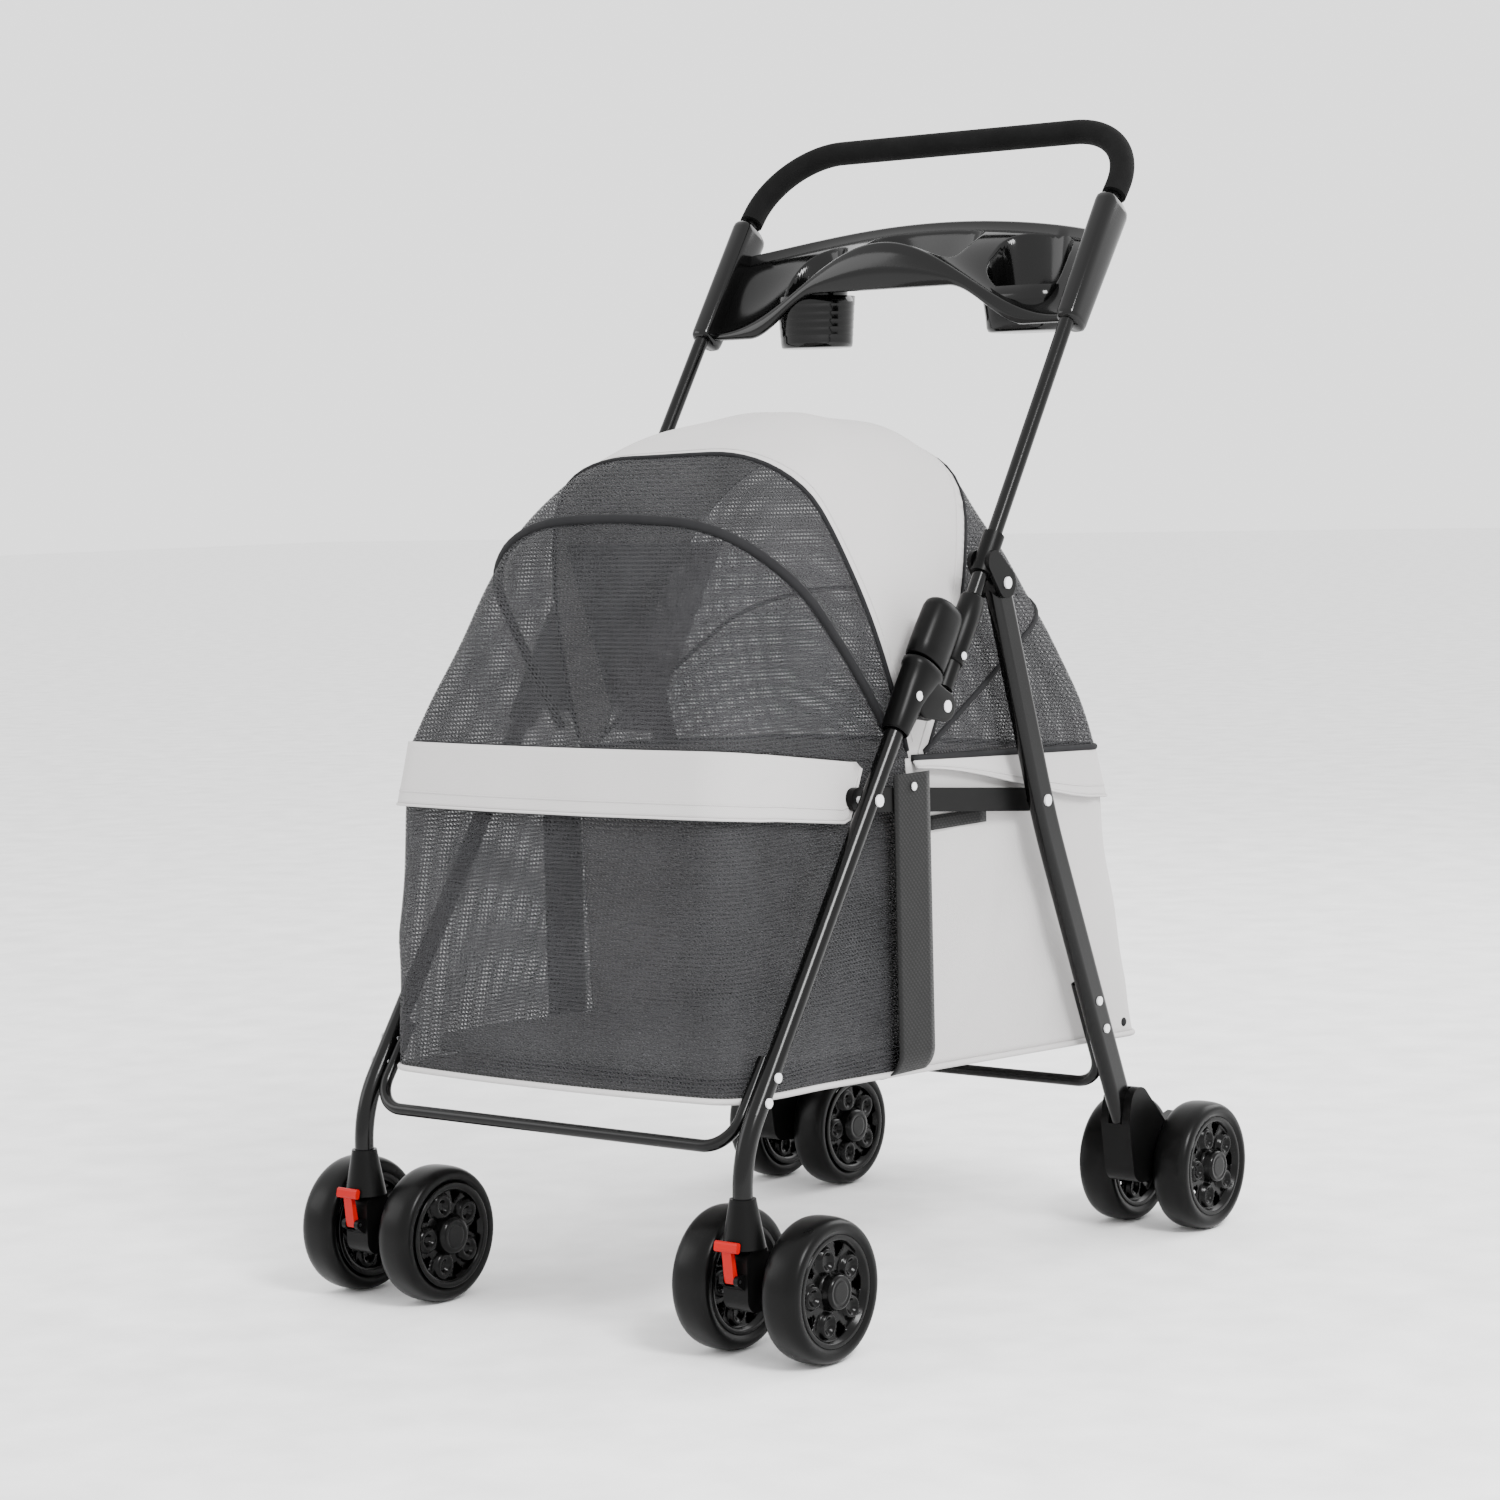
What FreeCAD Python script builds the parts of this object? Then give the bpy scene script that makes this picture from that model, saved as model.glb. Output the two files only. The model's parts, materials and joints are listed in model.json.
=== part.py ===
"""Four-wheeled folding pet stroller, millimetres, +Z up, front facing -Y.

The origin is on the floor, under the middle of the stroller. Every sub-part is drawn in the
stroller's own side view, where y is counted back from the front axle, and its Placement then
moves it so that the origin lies half way between the front and the rear of the wheels.
"""
import FreeCAD, Part
import math
import os

from FreeCAD import Placement, Rotation, Vector

doc = FreeCAD.newDocument("pet_stroller")

# ---------------------------------------------------------------- driving dimensions

DIMENSIONS = {
    # wheels
    "wheel_diameter": 115.0,
    "wheel_width": 34.8,
    "tyre_bore": 82.0,
    "tyre_rounding": 16.0,
    "hub_width": 34.0,
    "axle_diameter": 8.0,
    "running_clearance": 0.05,
    "wheelbase": 580.8,
    "front_axle_y": -288.15,
    "front_pair_spacing": 88.4,
    "rear_pair_spacing": 77.8,
    # tube frame
    "frame_half_width": 201.6,
    "front_leg_diameter": 16.0,
    "front_leg_slope": 55.4,
    "front_leg_bend": 100.0,
    "tube_wall": 1.2,
    "rear_leg_width": 28.0,
    "rear_leg_depth": 14.0,
    "handle_diameter": 13.0,
    "handle_slope": 56.73,
    "handle_corner": 72.0,
    "cross_tube_diameter": 10.0,
    "cross_tube_corner": 28.0,
    "rail_height": 20.0,
    "rail_thickness": 7.0,
    "rail_x": 186.0,
    "grip_diameter": 22.0,
    # casters
    "caster_trail": 38.0,
    "stem_diameter": 10.0,
    # moulded joints
    "lock_width": 22.0,
    "lock_gap": 8.4,
    "knuckle_tongue": 8.0,
    "pin_diameter": 6.0,
    "cheek_thickness": 3.6,
    # soft goods
    "cabin_half_width": 178.0,
    "cabin_height": 250.0,
    "fabric_wall": 3.0,
    "strap_width": 50.0,
    "strap_thickness": 1.6,
}

sheet = doc.addObject("Spreadsheet::Sheet", "Dimensions")
for row, (alias, number) in enumerate(DIMENSIONS.items(), start=1):
    sheet.set("A%d" % row, alias)
    sheet.set("B%d" % row, str(number))
    sheet.setAlias("B%d" % row, alias)
doc.recompute()


def size(alias):
    """The value of one cell of the sheet."""
    return float(getattr(sheet, alias))


# side-view landmarks (y from the front axle, z from the floor)
AXLE_Z = size("wheel_diameter") / 2
REAR_AXLE_Y = size("wheelbase")
STEM_Y = -size("caster_trail")
LEG_BEND_Z = 165.7
LEG_TOP_Z = 512.0
LEG_FOOT_Z = 112.0
FOLD_PIVOT = (236.0, 494.0)
RAIL_FRONT = (142.0, 424.0)
RAIL_REAR = (390.0, 403.0)
REAR_LEG_PIVOT = (329.0, 592.0)
REAR_LEG_BEND = (396.0, 385.0)
REAR_LEG_FOOT = (518.0, 100.0)
HANDLE_KINK = (489.0, 880.0)
HANDLE_TOP = (577.0, 988.4)
HANDLE_FOOT_Z = 508.0
STRAP_Y = 215.0
SIDE = size("frame_half_width")


def leg_y(z):
    """Where the straight part of the front leg's centre line is at height z."""
    return STEM_Y + (z - LEG_BEND_Z) / math.tan(math.radians(size("front_leg_slope")))


def handle_y(z):
    """Where the straight part of the handle tube's centre line is at height z."""
    run = (z - HANDLE_KINK[1]) / math.tan(math.radians(size("handle_slope")))
    return HANDLE_KINK[0] + run


def rear_leg_y(z):
    """Where the rear leg's centre line is at height z."""
    low, high = REAR_LEG_BEND, REAR_LEG_PIVOT
    if z < REAR_LEG_BEND[1]:
        low, high = REAR_LEG_FOOT, REAR_LEG_BEND
    share = (z - low[1]) / (high[1] - low[1])
    return low[0] + share * (high[0] - low[0])


def along(start, end, distance):
    """The side-view point at a distance from start towards end."""
    length = math.hypot(end[0] - start[0], end[1] - start[1])
    share = distance / length
    return (start[0] + share * (end[0] - start[0]), start[1] + share * (end[1] - start[1]))


# ---------------------------------------------------------------- helpers

sub_parts = []


def keep(thing, label, moved=True):
    """Name a finished sub-part and move it from the side view's zero to the stroller's."""
    thing.Label = label
    if moved:
        thing.setExpression("Placement.Base.y", "Dimensions.front_axle_y")
    sub_parts.append(thing)
    return thing


def mirrored(source, label):
    """The other side's copy of a finished sub-part."""
    copy = doc.addObject("Part::Mirroring", label)
    copy.Source = source
    copy.Normal = (1, 0, 0)
    copy.Base = (0, 0, 0)
    return keep(copy, label, moved=False)


def cylinder(name, diameter, height, base, axis=(0, 0, 1)):
    """A Part::Cylinder; diameter may be a number or an expression of sheet cells."""
    thing = doc.addObject("Part::Cylinder", name)
    if isinstance(diameter, str):
        thing.setExpression("Radius", "(%s) / 2" % diameter)
    else:
        thing.Radius = diameter / 2
    thing.Height = height
    thing.Placement = Placement(Vector(*base), Rotation(Vector(0, 0, 1), Vector(*axis)))
    return thing


def cross_pin(name, diameter, at, x_from, x_to):
    """A cylinder along x through a side-view point."""
    return cylinder(name, diameter, x_to - x_from, (x_from, at[0], at[1]), (1, 0, 0))


def box(name, low, high):
    """A Part::Box between two corners."""
    thing = doc.addObject("Part::Box", name)
    thing.Length = high[0] - low[0]
    thing.Width = high[1] - low[1]
    thing.Height = high[2] - low[2]
    thing.Placement = Placement(Vector(*low), Rotation())
    return thing


def fuse(name, *things):
    thing = doc.addObject("Part::MultiFuse", name)
    thing.Shapes = list(things)
    return thing


def group(name, *things):
    """Identical loose pieces that share one node."""
    thing = doc.addObject("Part::Compound", name)
    thing.Links = list(things)
    return thing


def cut(name, base, tool):
    thing = doc.addObject("Part::Cut", name)
    thing.Base = base
    thing.Tool = tool
    return thing


def common(name, *things):
    thing = doc.addObject("Part::MultiCommon", name)
    thing.Shapes = list(things)
    return thing


def hull_loop(circles):
    """The outline round a counter-clockwise list of circles (u, w, radius)."""
    count = len(circles)
    spans = []
    for i in range(count):
        (u0, w0, r0), (u1, w1, r1) = circles[i], circles[(i + 1) % count]
        reach = math.hypot(u1 - u0, w1 - w0)
        du, dw = (u1 - u0) / reach, (w1 - w0) / reach
        lean = (r0 - r1) / reach
        side = math.sqrt(1 - lean * lean)
        nu, nw = du * lean + dw * side, dw * lean - du * side
        start = Vector(u0 + r0 * nu, w0 + r0 * nw, 0)
        end = Vector(u1 + r1 * nu, w1 + r1 * nw, 0)
        spans.append((start, end, math.atan2(nw, nu)))
    edges = []
    for i in range(count):
        u0, w0, r0 = circles[i]
        turn_in, turn_out = spans[i - 1][2], spans[i][2]
        while turn_out <= turn_in:
            turn_out += 2 * math.pi
        if r0 > 0:
            rim = Part.Circle(Vector(u0, w0, 0), Vector(0, 0, 1), r0)
            edges.append(Part.ArcOfCircle(rim, turn_in, turn_out))
        edges.append(Part.LineSegment(spans[i][0], spans[i][1]))
    return edges


def circle_loop(u, w, radius):
    return [Part.Circle(Vector(u, w, 0), Vector(0, 0, 1), radius)]


def polygon_loop(points):
    corners = [Vector(u, w, 0) for u, w in points]
    return [Part.LineSegment(a, b) for a, b in zip(corners, corners[1:] + corners[:1])]


def plane_of(body, role):
    return next(f for f in body.Origin.OriginFeatures if f.Role == role)


def new_sketch(body, name, role, loops):
    sketch = body.newObject("Sketcher::SketchObject", name)
    sketch.AttachmentSupport = (plane_of(body, role), [""])
    sketch.MapMode = "FlatFace"
    for loop in loops:
        sketch.addGeometry(loop, False)
    return sketch


def pad_body(name, loops, thickness, x_middle=0.0, role="YZ_Plane"):
    """A PartDesign plate: a side-view outline padded evenly to both sides of x_middle."""
    body = doc.addObject("PartDesign::Body", name)
    sketch = new_sketch(body, name + "_outline", role, loops)
    pad = body.newObject("PartDesign::Pad", name + "_pad")
    pad.Profile = sketch
    if isinstance(thickness, str):
        pad.setExpression("Length", thickness)
    else:
        pad.Length = thickness
    pad.Midplane = True
    sketch.Visibility = False
    body.Placement = Placement(Vector(x_middle, 0, 0), Rotation())
    return body


def revolved_body(name, loops):
    """A PartDesign solid of revolution about the body's own x axis."""
    body = doc.addObject("PartDesign::Body", name)
    sketch = new_sketch(body, name + "_profile", "XZ_Plane", loops)
    turn = body.newObject("PartDesign::Revolution", name + "_turn")
    turn.Profile = sketch
    turn.ReferenceAxis = (sketch, ["H_Axis"])
    turn.Angle = 360
    return body


def bend_path(points, radii):
    """Straight runs joined by tangent arcs; radii has one value for each inner point."""
    corners = [Vector(*p) for p in points]
    edges = []
    start = corners[0]
    for before, corner, after, radius in zip(corners, corners[1:], corners[2:], radii):
        arriving = (corner - before).normalize()
        leaving = (after - corner).normalize()
        turn = arriving.getAngle(leaving)
        reach = radius * math.tan(turn / 2)
        first = corner - arriving * reach
        last = corner + leaving * reach
        inward = (leaving - arriving).normalize()
        middle = corner + inward * (radius / math.cos(turn / 2) - radius)
        edges.append(Part.LineSegment(start, first).toShape())
        edges.append(Part.Arc(first, middle, last).toShape())
        start = last
    edges.append(Part.LineSegment(start, corners[-1]).toShape())
    return Part.Wire(edges)


def swept_rod(name, wire, diameter):
    """A round rod along a wire: Part::Circle swept along the path."""
    path = doc.addObject("Part::Feature", name + "_path")
    path.Shape = wire
    first = wire.OrderedEdges[0]
    start = first.valueAt(first.FirstParameter)
    heading = first.tangentAt(first.FirstParameter)
    ring = doc.addObject("Part::Circle", name + "_ring")
    ring.setExpression("Radius", "(%s) / 2" % diameter)
    ring.Placement = Placement(start, Rotation(Vector(0, 0, 1), heading))
    rod = doc.addObject("Part::Sweep", name)
    rod.Sections = [ring]
    rod.Spine = (path, ["Edge%d" % (i + 1) for i in range(len(wire.Edges))])
    rod.Solid = True
    rod.Frenet = False
    return rod


def tube(name, points, radii, diameter, wall="Dimensions.tube_wall"):
    """A bent tube with its bore cut out."""
    wire = bend_path(points, radii)
    outer = swept_rod(name + "_outer", wire, diameter)
    inner = swept_rod(name + "_bore", wire, "%s - 2 * %s" % (diameter, wall))
    return cut(name + "_tube", outer, inner)


def on_side(y, z, x=SIDE):
    return (x, y, z)


# ---------------------------------------------------------------- tube frame

LEG = "Dimensions.front_leg_diameter"
HANDLE = "Dimensions.handle_diameter"
CROSS = "Dimensions.cross_tube_diameter"
PIN = "Dimensions.pin_diameter"

leg_tube = tube(
    "front_leg",
    [on_side(STEM_Y, LEG_FOOT_Z), on_side(STEM_Y, LEG_BEND_Z), on_side(leg_y(LEG_TOP_Z), LEG_TOP_Z)],
    [size("front_leg_bend")],
    LEG,
)
leg_rivet_at = (leg_y(505.0), 505.0)
front_cross_at = [(leg_y(z), z) for z in (220.0, 202.0)]
leg_holes = fuse(
    "front_leg_holes",
    cross_pin("leg_rail_hole", PIN, RAIL_FRONT, SIDE - 15, SIDE + 15),
    cross_pin("leg_lock_hole", 4.0, leg_rivet_at, SIDE - 15, SIDE + 15),
    *[
        cross_pin("leg_cross_hole_%d" % i, 4.0, at, SIDE - 15, SIDE + 15)
        for i, at in enumerate(front_cross_at)
    ],
)
leg_front_right = keep(cut("front_leg_right", leg_tube, leg_holes), "leg_front_right")
mirrored(leg_front_right, "leg_front_left")

cross_x = SIDE - size("front_leg_diameter") / 2 - size("cross_tube_diameter") / 2
front_bar = (-36.0, 168.0)
front_end = (leg_y(232.0) + 2.0, 232.0)
front_cross = tube(
    "front_cross",
    [
        (cross_x, front_end[0], front_end[1]),
        (cross_x, front_bar[0], front_bar[1]),
        (-cross_x, front_bar[0], front_bar[1]),
        (-cross_x, front_end[0], front_end[1]),
    ],
    [size("cross_tube_corner")] * 2,
    CROSS,
)
keep(front_cross, "front_cross_tube")

# rear legs: flat-oval tube, gently bent, with a rounded eye about its pivot
leg_half = size("rear_leg_width") / 2
leg_depth = size("rear_leg_depth")
REAR_LEG_TURN = 800.0
rear_leg_line = [on_side(*REAR_LEG_PIVOT), on_side(*REAR_LEG_BEND), on_side(*REAR_LEG_FOOT)]
rear_leg_wire = bend_path(rear_leg_line, [REAR_LEG_TURN])


def oval_rod(name, wall):
    """The rear leg's flat-oval section, less a wall, swept down its centre line."""
    first = rear_leg_wire.OrderedEdges[0]
    heading = first.tangentAt(first.FirstParameter)
    across = Vector(0, heading.z, -heading.y)
    radius = leg_depth / 2 - wall
    outward = Vector(radius, 0, 0)
    start = Vector(*on_side(*REAR_LEG_PIVOT))
    back = start + across * (leg_half - leg_depth / 2)
    front = start - across * (leg_half - leg_depth / 2)
    outline = [
        Part.LineSegment(back + outward, front + outward),
        Part.Arc(front + outward, front - across * radius, front - outward),
        Part.LineSegment(front - outward, back - outward),
        Part.Arc(back - outward, back + across * radius, back + outward),
    ]
    section = doc.addObject("Part::Feature", name + "_section")
    section.Shape = Part.Wire([edge.toShape() for edge in outline])
    path = doc.addObject("Part::Feature", name + "_path")
    path.Shape = rear_leg_wire
    rod = doc.addObject("Part::Sweep", name)
    rod.Sections = [section]
    rod.Spine = (path, ["Edge%d" % (i + 1) for i in range(len(rear_leg_wire.Edges))])
    rod.Solid = True
    return rod


def eyed_leg(name, wall):
    radius = leg_half - wall
    half = leg_depth / 2 - wall
    eye = cross_pin(name + "_eye", 2 * radius, REAR_LEG_PIVOT, SIDE - half, SIDE + half)
    return fuse(name, oval_rod(name + "_rod", wall), eye)


rear_cross_at = [(rear_leg_y(z), z) for z in (219.0, 193.0)]
rear_leg_holes = fuse(
    "rear_leg_holes",
    cross_pin(
        "rear_leg_pivot_hole",
        "Dimensions.pin_diameter + 2 * Dimensions.running_clearance",
        REAR_LEG_PIVOT, SIDE - 15, SIDE + 15,
    ),
    cross_pin("rear_leg_rail_hole", PIN, RAIL_REAR, SIDE - 15, SIDE + 15),
    cross_pin("rear_leg_hole_a", 4.0, rear_cross_at[0], SIDE - 15, SIDE + 15),
    cross_pin("rear_leg_hole_b", 4.0, rear_cross_at[1], SIDE - 15, SIDE + 15),
)
hollow_leg = cut("rear_leg_hollow", eyed_leg("rear_leg_outer", 0.0), eyed_leg("rear_leg_bore", 1.5))
leg_rear_right = keep(cut("rear_leg_right", hollow_leg, rear_leg_holes), "leg_rear_right")
mirrored(leg_rear_right, "leg_rear_left")

rear_x = SIDE - size("rear_leg_depth") / 2 - size("cross_tube_diameter") / 2
rear_bar = (rear_leg_y(139.0), 139.0)
rear_end = (rear_leg_y(234.0), 234.0)
rear_cross = tube(
    "rear_cross",
    [
        (rear_x, rear_end[0], rear_end[1]),
        (rear_x, rear_bar[0], rear_bar[1]),
        (-rear_x, rear_bar[0], rear_bar[1]),
        (-rear_x, rear_end[0], rear_end[1]),
    ],
    [size("cross_tube_corner")] * 2,
    CROSS,
)
keep(rear_cross, "rear_cross_tube")

handle = tube(
    "handle",
    [
        on_side(handle_y(HANDLE_FOOT_Z), HANDLE_FOOT_Z),
        on_side(*HANDLE_KINK),
        on_side(*HANDLE_TOP),
        on_side(*HANDLE_TOP, x=-SIDE),
        on_side(*HANDLE_KINK, x=-SIDE),
        on_side(handle_y(HANDLE_FOOT_Z), HANDLE_FOOT_Z, x=-SIDE),
    ],
    [150.0, size("handle_corner"), size("handle_corner"), 150.0],
    HANDLE,
)
keep(handle, "handle_tube")

grip_start = along(HANDLE_KINK, HANDLE_TOP, 58.0)
grip_wire = bend_path(
    [
        on_side(*grip_start),
        on_side(*HANDLE_TOP),
        on_side(*HANDLE_TOP, x=-SIDE),
        on_side(*grip_start, x=-SIDE),
    ],
    [size("handle_corner")] * 2,
)
grip = cut(
    "grip_cut",
    swept_rod("grip_outer", grip_wire, "Dimensions.grip_diameter"),
    swept_rod("grip_bore", grip_wire, HANDLE),
)
keep(grip, "foam_grip")

# side rails: flat-oval bars inside the legs
rail_end = size("rail_height") / 2
rail_hole = size("pin_diameter") / 2 + size("running_clearance")
rail_right = pad_body(
    "rail_right",
    [
        hull_loop([(*RAIL_FRONT, rail_end), (*RAIL_REAR, rail_end)]),
        circle_loop(*RAIL_FRONT, rail_hole),
        circle_loop(*RAIL_REAR, rail_hole),
    ],
    "Dimensions.rail_thickness",
    size("rail_x"),
)
keep(rail_right, "side_rail_right")
mirrored(rail_right, "side_rail_left")

# ---------------------------------------------------------------- lock joints

leg_angle = math.radians(size("front_leg_slope"))
leg_dir = (math.cos(leg_angle), math.sin(leg_angle))
LEG_MARK = (leg_y(493.0), 493.0)


def lock_point(up, back):
    """A point of the lock joint: up along the front leg, back square to it."""
    return (
        LEG_MARK[0] + up * leg_dir[0] + back * leg_dir[1],
        LEG_MARK[1] + up * leg_dir[1] - back * leg_dir[0],
    )


base_block = pad_body(
    "lock_base_block",
    [
        hull_loop(
            [
                (*lock_point(-12, -8), 4.0),
                (*FOLD_PIVOT, 12.0),
                (*lock_point(44, 12), 4.0),
                (*lock_point(44, -12), 4.0),
            ]
        )
    ],
    "Dimensions.lock_width",
    SIDE,
)
base_slot = pad_body(
    "lock_base_slot",
    [hull_loop([(*lock_point(10, 30), 9.0), (*lock_point(10, 90), 9.0), (*lock_point(70, 90), 9.0),
                (*lock_point(70, 30), 9.0)])],
    "Dimensions.lock_gap",
    SIDE,
)
leg_axis = (0, leg_dir[0], leg_dir[1])
leg_bore_foot = (SIDE, *along(LEG_MARK, lock_point(-1, 0), 90.0))
leg_bore = cylinder("lock_base_bore", LEG, 120.0, leg_bore_foot, leg_axis)
base_holes = fuse(
    "lock_base_holes",
    base_slot,
    leg_bore,
    cross_pin("lock_base_pin_hole", PIN, FOLD_PIVOT, SIDE - 20, SIDE + 20),
    cross_pin("lock_base_rivet_hole", 4.0, leg_rivet_at, SIDE - 20, SIDE + 20),
)
lock_base_right = keep(cut("lock_base_right_cut", base_block, base_holes), "lock_base_right")
mirrored(lock_base_right, "lock_base_left")

# handle knuckle: a collar round the tube's foot and a tongue that turns on the fold pin
handle_dir = (math.cos(math.radians(size("handle_slope"))), math.sin(math.radians(size("handle_slope"))))
handle_axis = (0, handle_dir[0], handle_dir[1])
tube_foot = (handle_y(HANDLE_FOOT_Z), HANDLE_FOOT_Z)
tongue_end = along(tube_foot, (tube_foot[0] + handle_dir[0], tube_foot[1] + handle_dir[1]), 6.0)
tongue = pad_body(
    "knuckle_tongue",
    [hull_loop([(*FOLD_PIVOT, 9.0), (*tongue_end, 7.0)])],
    "Dimensions.knuckle_tongue",
    SIDE,
)
collar = cylinder("knuckle_collar", HANDLE + " + 5", 34.0, (SIDE, *tube_foot), handle_axis)
tube_stub = cylinder("knuckle_bore", HANDLE, 60.0, (SIDE, *tube_foot), handle_axis)
tongue_hole = cross_pin(
    "knuckle_pin_hole", "Dimensions.pin_diameter + 2 * Dimensions.running_clearance",
    FOLD_PIVOT, SIDE - 20, SIDE + 20,
)
knuckle = cut(
    "knuckle_cut",
    fuse("knuckle_body", tongue, collar),
    fuse("knuckle_holes", tube_stub, tongue_hole),
)
knuckle_right = keep(knuckle, "handle_knuckle_right")
mirrored(knuckle_right, "handle_knuckle_left")

# locking sleeve: a barrel above the base with an ear that slides on the handle tube
sleeve_low, sleeve_high = 48.6, 106.0
barrel = pad_body(
    "sleeve_barrel",
    [
        hull_loop(
            [
                (*lock_point(sleeve_low + 3, -15), 3.0),
                (*lock_point(sleeve_low + 3, 21), 3.0),
                (*lock_point(sleeve_high - 12, 18), 10.0),
                (*lock_point(sleeve_high - 14, -4), 12.0),
            ]
        )
    ],
    "Dimensions.lock_width",
    SIDE,
)
ear_foot = (handle_y(566.0), 566.0)
ear = cylinder("sleeve_ear", HANDLE + " + 6", 24.0, (SIDE, *ear_foot), handle_axis)
bridge_at = lock_point(sleeve_high - 14, 20)
bridge = pad_body(
    "sleeve_bridge",
    [hull_loop([(*bridge_at, 7.0), (*along(ear_foot, (ear_foot[0] + handle_dir[0],
                                                      ear_foot[1] + handle_dir[1]), 12.0), 7.0)])],
    12.0,
    SIDE,
)
slide_bore = cylinder(
    "sleeve_bore", HANDLE + " + 2 * Dimensions.running_clearance", 200.0,
    (SIDE, handle_y(520.0), 520.0), handle_axis,
)
sleeve = cut("sleeve_cut", fuse("sleeve_body", barrel, ear, bridge), slide_bore)
sleeve_right = keep(sleeve, "lock_sleeve_right")
mirrored(sleeve_right, "lock_sleeve_left")

# rear-leg bracket: a collar on the handle tube with two cheeks round the leg's top
bracket_on_tube = (handle_y(610.0), 610.0)
cheek = size("cheek_thickness")
cheek_x = size("rear_leg_depth") / 2 + 0.4 + cheek / 2
cheeks = [
    pad_body(
        "bracket_cheek_%s" % side,
        [hull_loop([(*REAR_LEG_PIVOT, 13.0), (*bracket_on_tube, 10.0)])],
        "Dimensions.cheek_thickness",
        SIDE + offset,
    )
    for side, offset in (("outer", cheek_x), ("inner", -cheek_x))
]
bracket_collar = cylinder(
    "bracket_collar", HANDLE + " + 5.6", 38.0,
    (SIDE, *along(bracket_on_tube, (handle_y(600.0), 600.0), 11.3)), handle_axis,
)
bracket_bore = cylinder("bracket_bore", HANDLE, 120.0, (SIDE, handle_y(560.0), 560.0), handle_axis)
bracket = cut(
    "bracket_cut",
    fuse("bracket_body", bracket_collar, *cheeks),
    fuse(
        "bracket_holes", bracket_bore,
        cross_pin("bracket_pin_hole", PIN, REAR_LEG_PIVOT, SIDE - 20, SIDE + 20),
    ),
)
bracket_right = keep(bracket, "leg_bracket_right")
mirrored(bracket_right, "leg_bracket_left")


# ---------------------------------------------------------------- pins and rivets


def rivet(name, at, diameter, x_from, x_to, head=3.0):
    """A headed pin along x: a shank and two domed-over heads."""
    width = diameter + 4 if isinstance(diameter, float) else size("pin_diameter") + 4
    return fuse(
        name,
        cross_pin(name + "_shank", diameter, at, x_from, x_to),
        cross_pin(name + "_head_a", width, at, x_from - head / 2, x_from),
        cross_pin(name + "_head_b", width, at, x_to, x_to + head / 2),
    )


def both_sides(name, *things):
    """The right-hand pieces and their mirror images as one node."""
    right = group(name + "_right", *things)
    left = doc.addObject("Part::Mirroring", name + "_left")
    left.Source = right
    left.Normal = (1, 0, 0)
    left.Base = (0, 0, 0)
    return keep(group(name, right, left), name)


lock_out = size("lock_width") / 2
leg_radius = size("front_leg_diameter") / 2
both_sides(
    "chassis_rivets",
    rivet("fold_pin", FOLD_PIVOT, PIN, SIDE - lock_out, SIDE + lock_out),
    *[
        fuse(
            "front_rivet_%d" % i,
            cross_pin("front_shank_%d" % i, 4.0, at, SIDE - leg_radius, SIDE + leg_radius),
            cross_pin("front_head_%d" % i, 8.0, at, SIDE + leg_radius, SIDE + leg_radius + 1.5),
        )
        for i, at in enumerate(front_cross_at)
    ],
    rivet("lock_rivet", leg_rivet_at, 4.0, SIDE - lock_out, SIDE + lock_out),
    rivet("rail_front_pin", RAIL_FRONT, PIN, 182.2, SIDE + leg_radius),
)
bracket_out = cheek_x + cheek / 2
leg_pin = rivet("leg_pin", REAR_LEG_PIVOT, PIN, SIDE - bracket_out, SIDE + bracket_out)
# ---------------------------------------------------------------- front casters

STEM = "Dimensions.stem_diameter"
FIT = "2 * Dimensions.running_clearance"
socket_bottom, socket_top = 93.0, 131.0
cone = doc.addObject("Part::Cone", "socket_cone")
cone.Radius1 = 17.5
cone.Radius2 = 10.5
cone.Height = socket_top - socket_bottom
cone.Placement = Placement(Vector(SIDE, STEM_Y, socket_bottom), Rotation())
socket = cut(
    "socket_cut",
    cone,
    fuse(
        "socket_holes",
        cylinder("socket_leg_bore", LEG, 40.0, (SIDE, STEM_Y, LEG_FOOT_Z)),
        cylinder("socket_stem_bore", "%s + %s" % (STEM, FIT), 40.0, (SIDE, STEM_Y, 80.0)),
    ),
)
socket_right = keep(socket, "caster_socket_right")
mirrored(socket_right, "caster_socket_left")

block_top = socket_bottom - 0.6
lever_pivot = (STEM_Y - 17.0, 70.0)
lever_top = (STEM_Y - 21.0, 98.0)
block_half = 12.0
block = fuse(
    "block_body",
    pad_body(
        "block_web",
        [hull_loop([(STEM_Y, 55.0, 12.0), (0.0, AXLE_Z, 12.0), (STEM_Y + 6, block_top - 9, 9.0),
                    (STEM_Y - 3, block_top - 9, 9.0)])],
        2 * block_half,
        SIDE,
    ),
    cross_pin("block_axle_boss", 20.0, (0.0, AXLE_Z), SIDE - 25, SIDE + 25),
    pad_body("block_ears", [hull_loop([(STEM_Y - 4, 66.0, 8.0), (*lever_pivot, 4.0)])], 18.0, SIDE),
)
block_cut = cut(
    "block_cut",
    block,
    fuse(
        "block_holes",
        cylinder("block_stem_bore", STEM, 60.0, (SIDE, STEM_Y, 50.0)),
        cross_pin("block_axle_bore", "Dimensions.axle_diameter", (0.0, AXLE_Z), SIDE - 30, SIDE + 30),
        cross_pin("block_lever_hole", 3.0, lever_pivot, SIDE - 15, SIDE + 15),
        pad_body("block_lever_slot", [hull_loop([(*lever_pivot, 4.6), (*lever_top, 4.6)])], 9.8, SIDE),
    ),
)
block_right = keep(block_cut, "caster_block_right")
mirrored(block_right, "caster_block_left")
stem = cylinder("stem_rod", STEM, LEG_FOOT_Z - 2.0 - 50.0, (SIDE, STEM_Y, 50.0))
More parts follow.
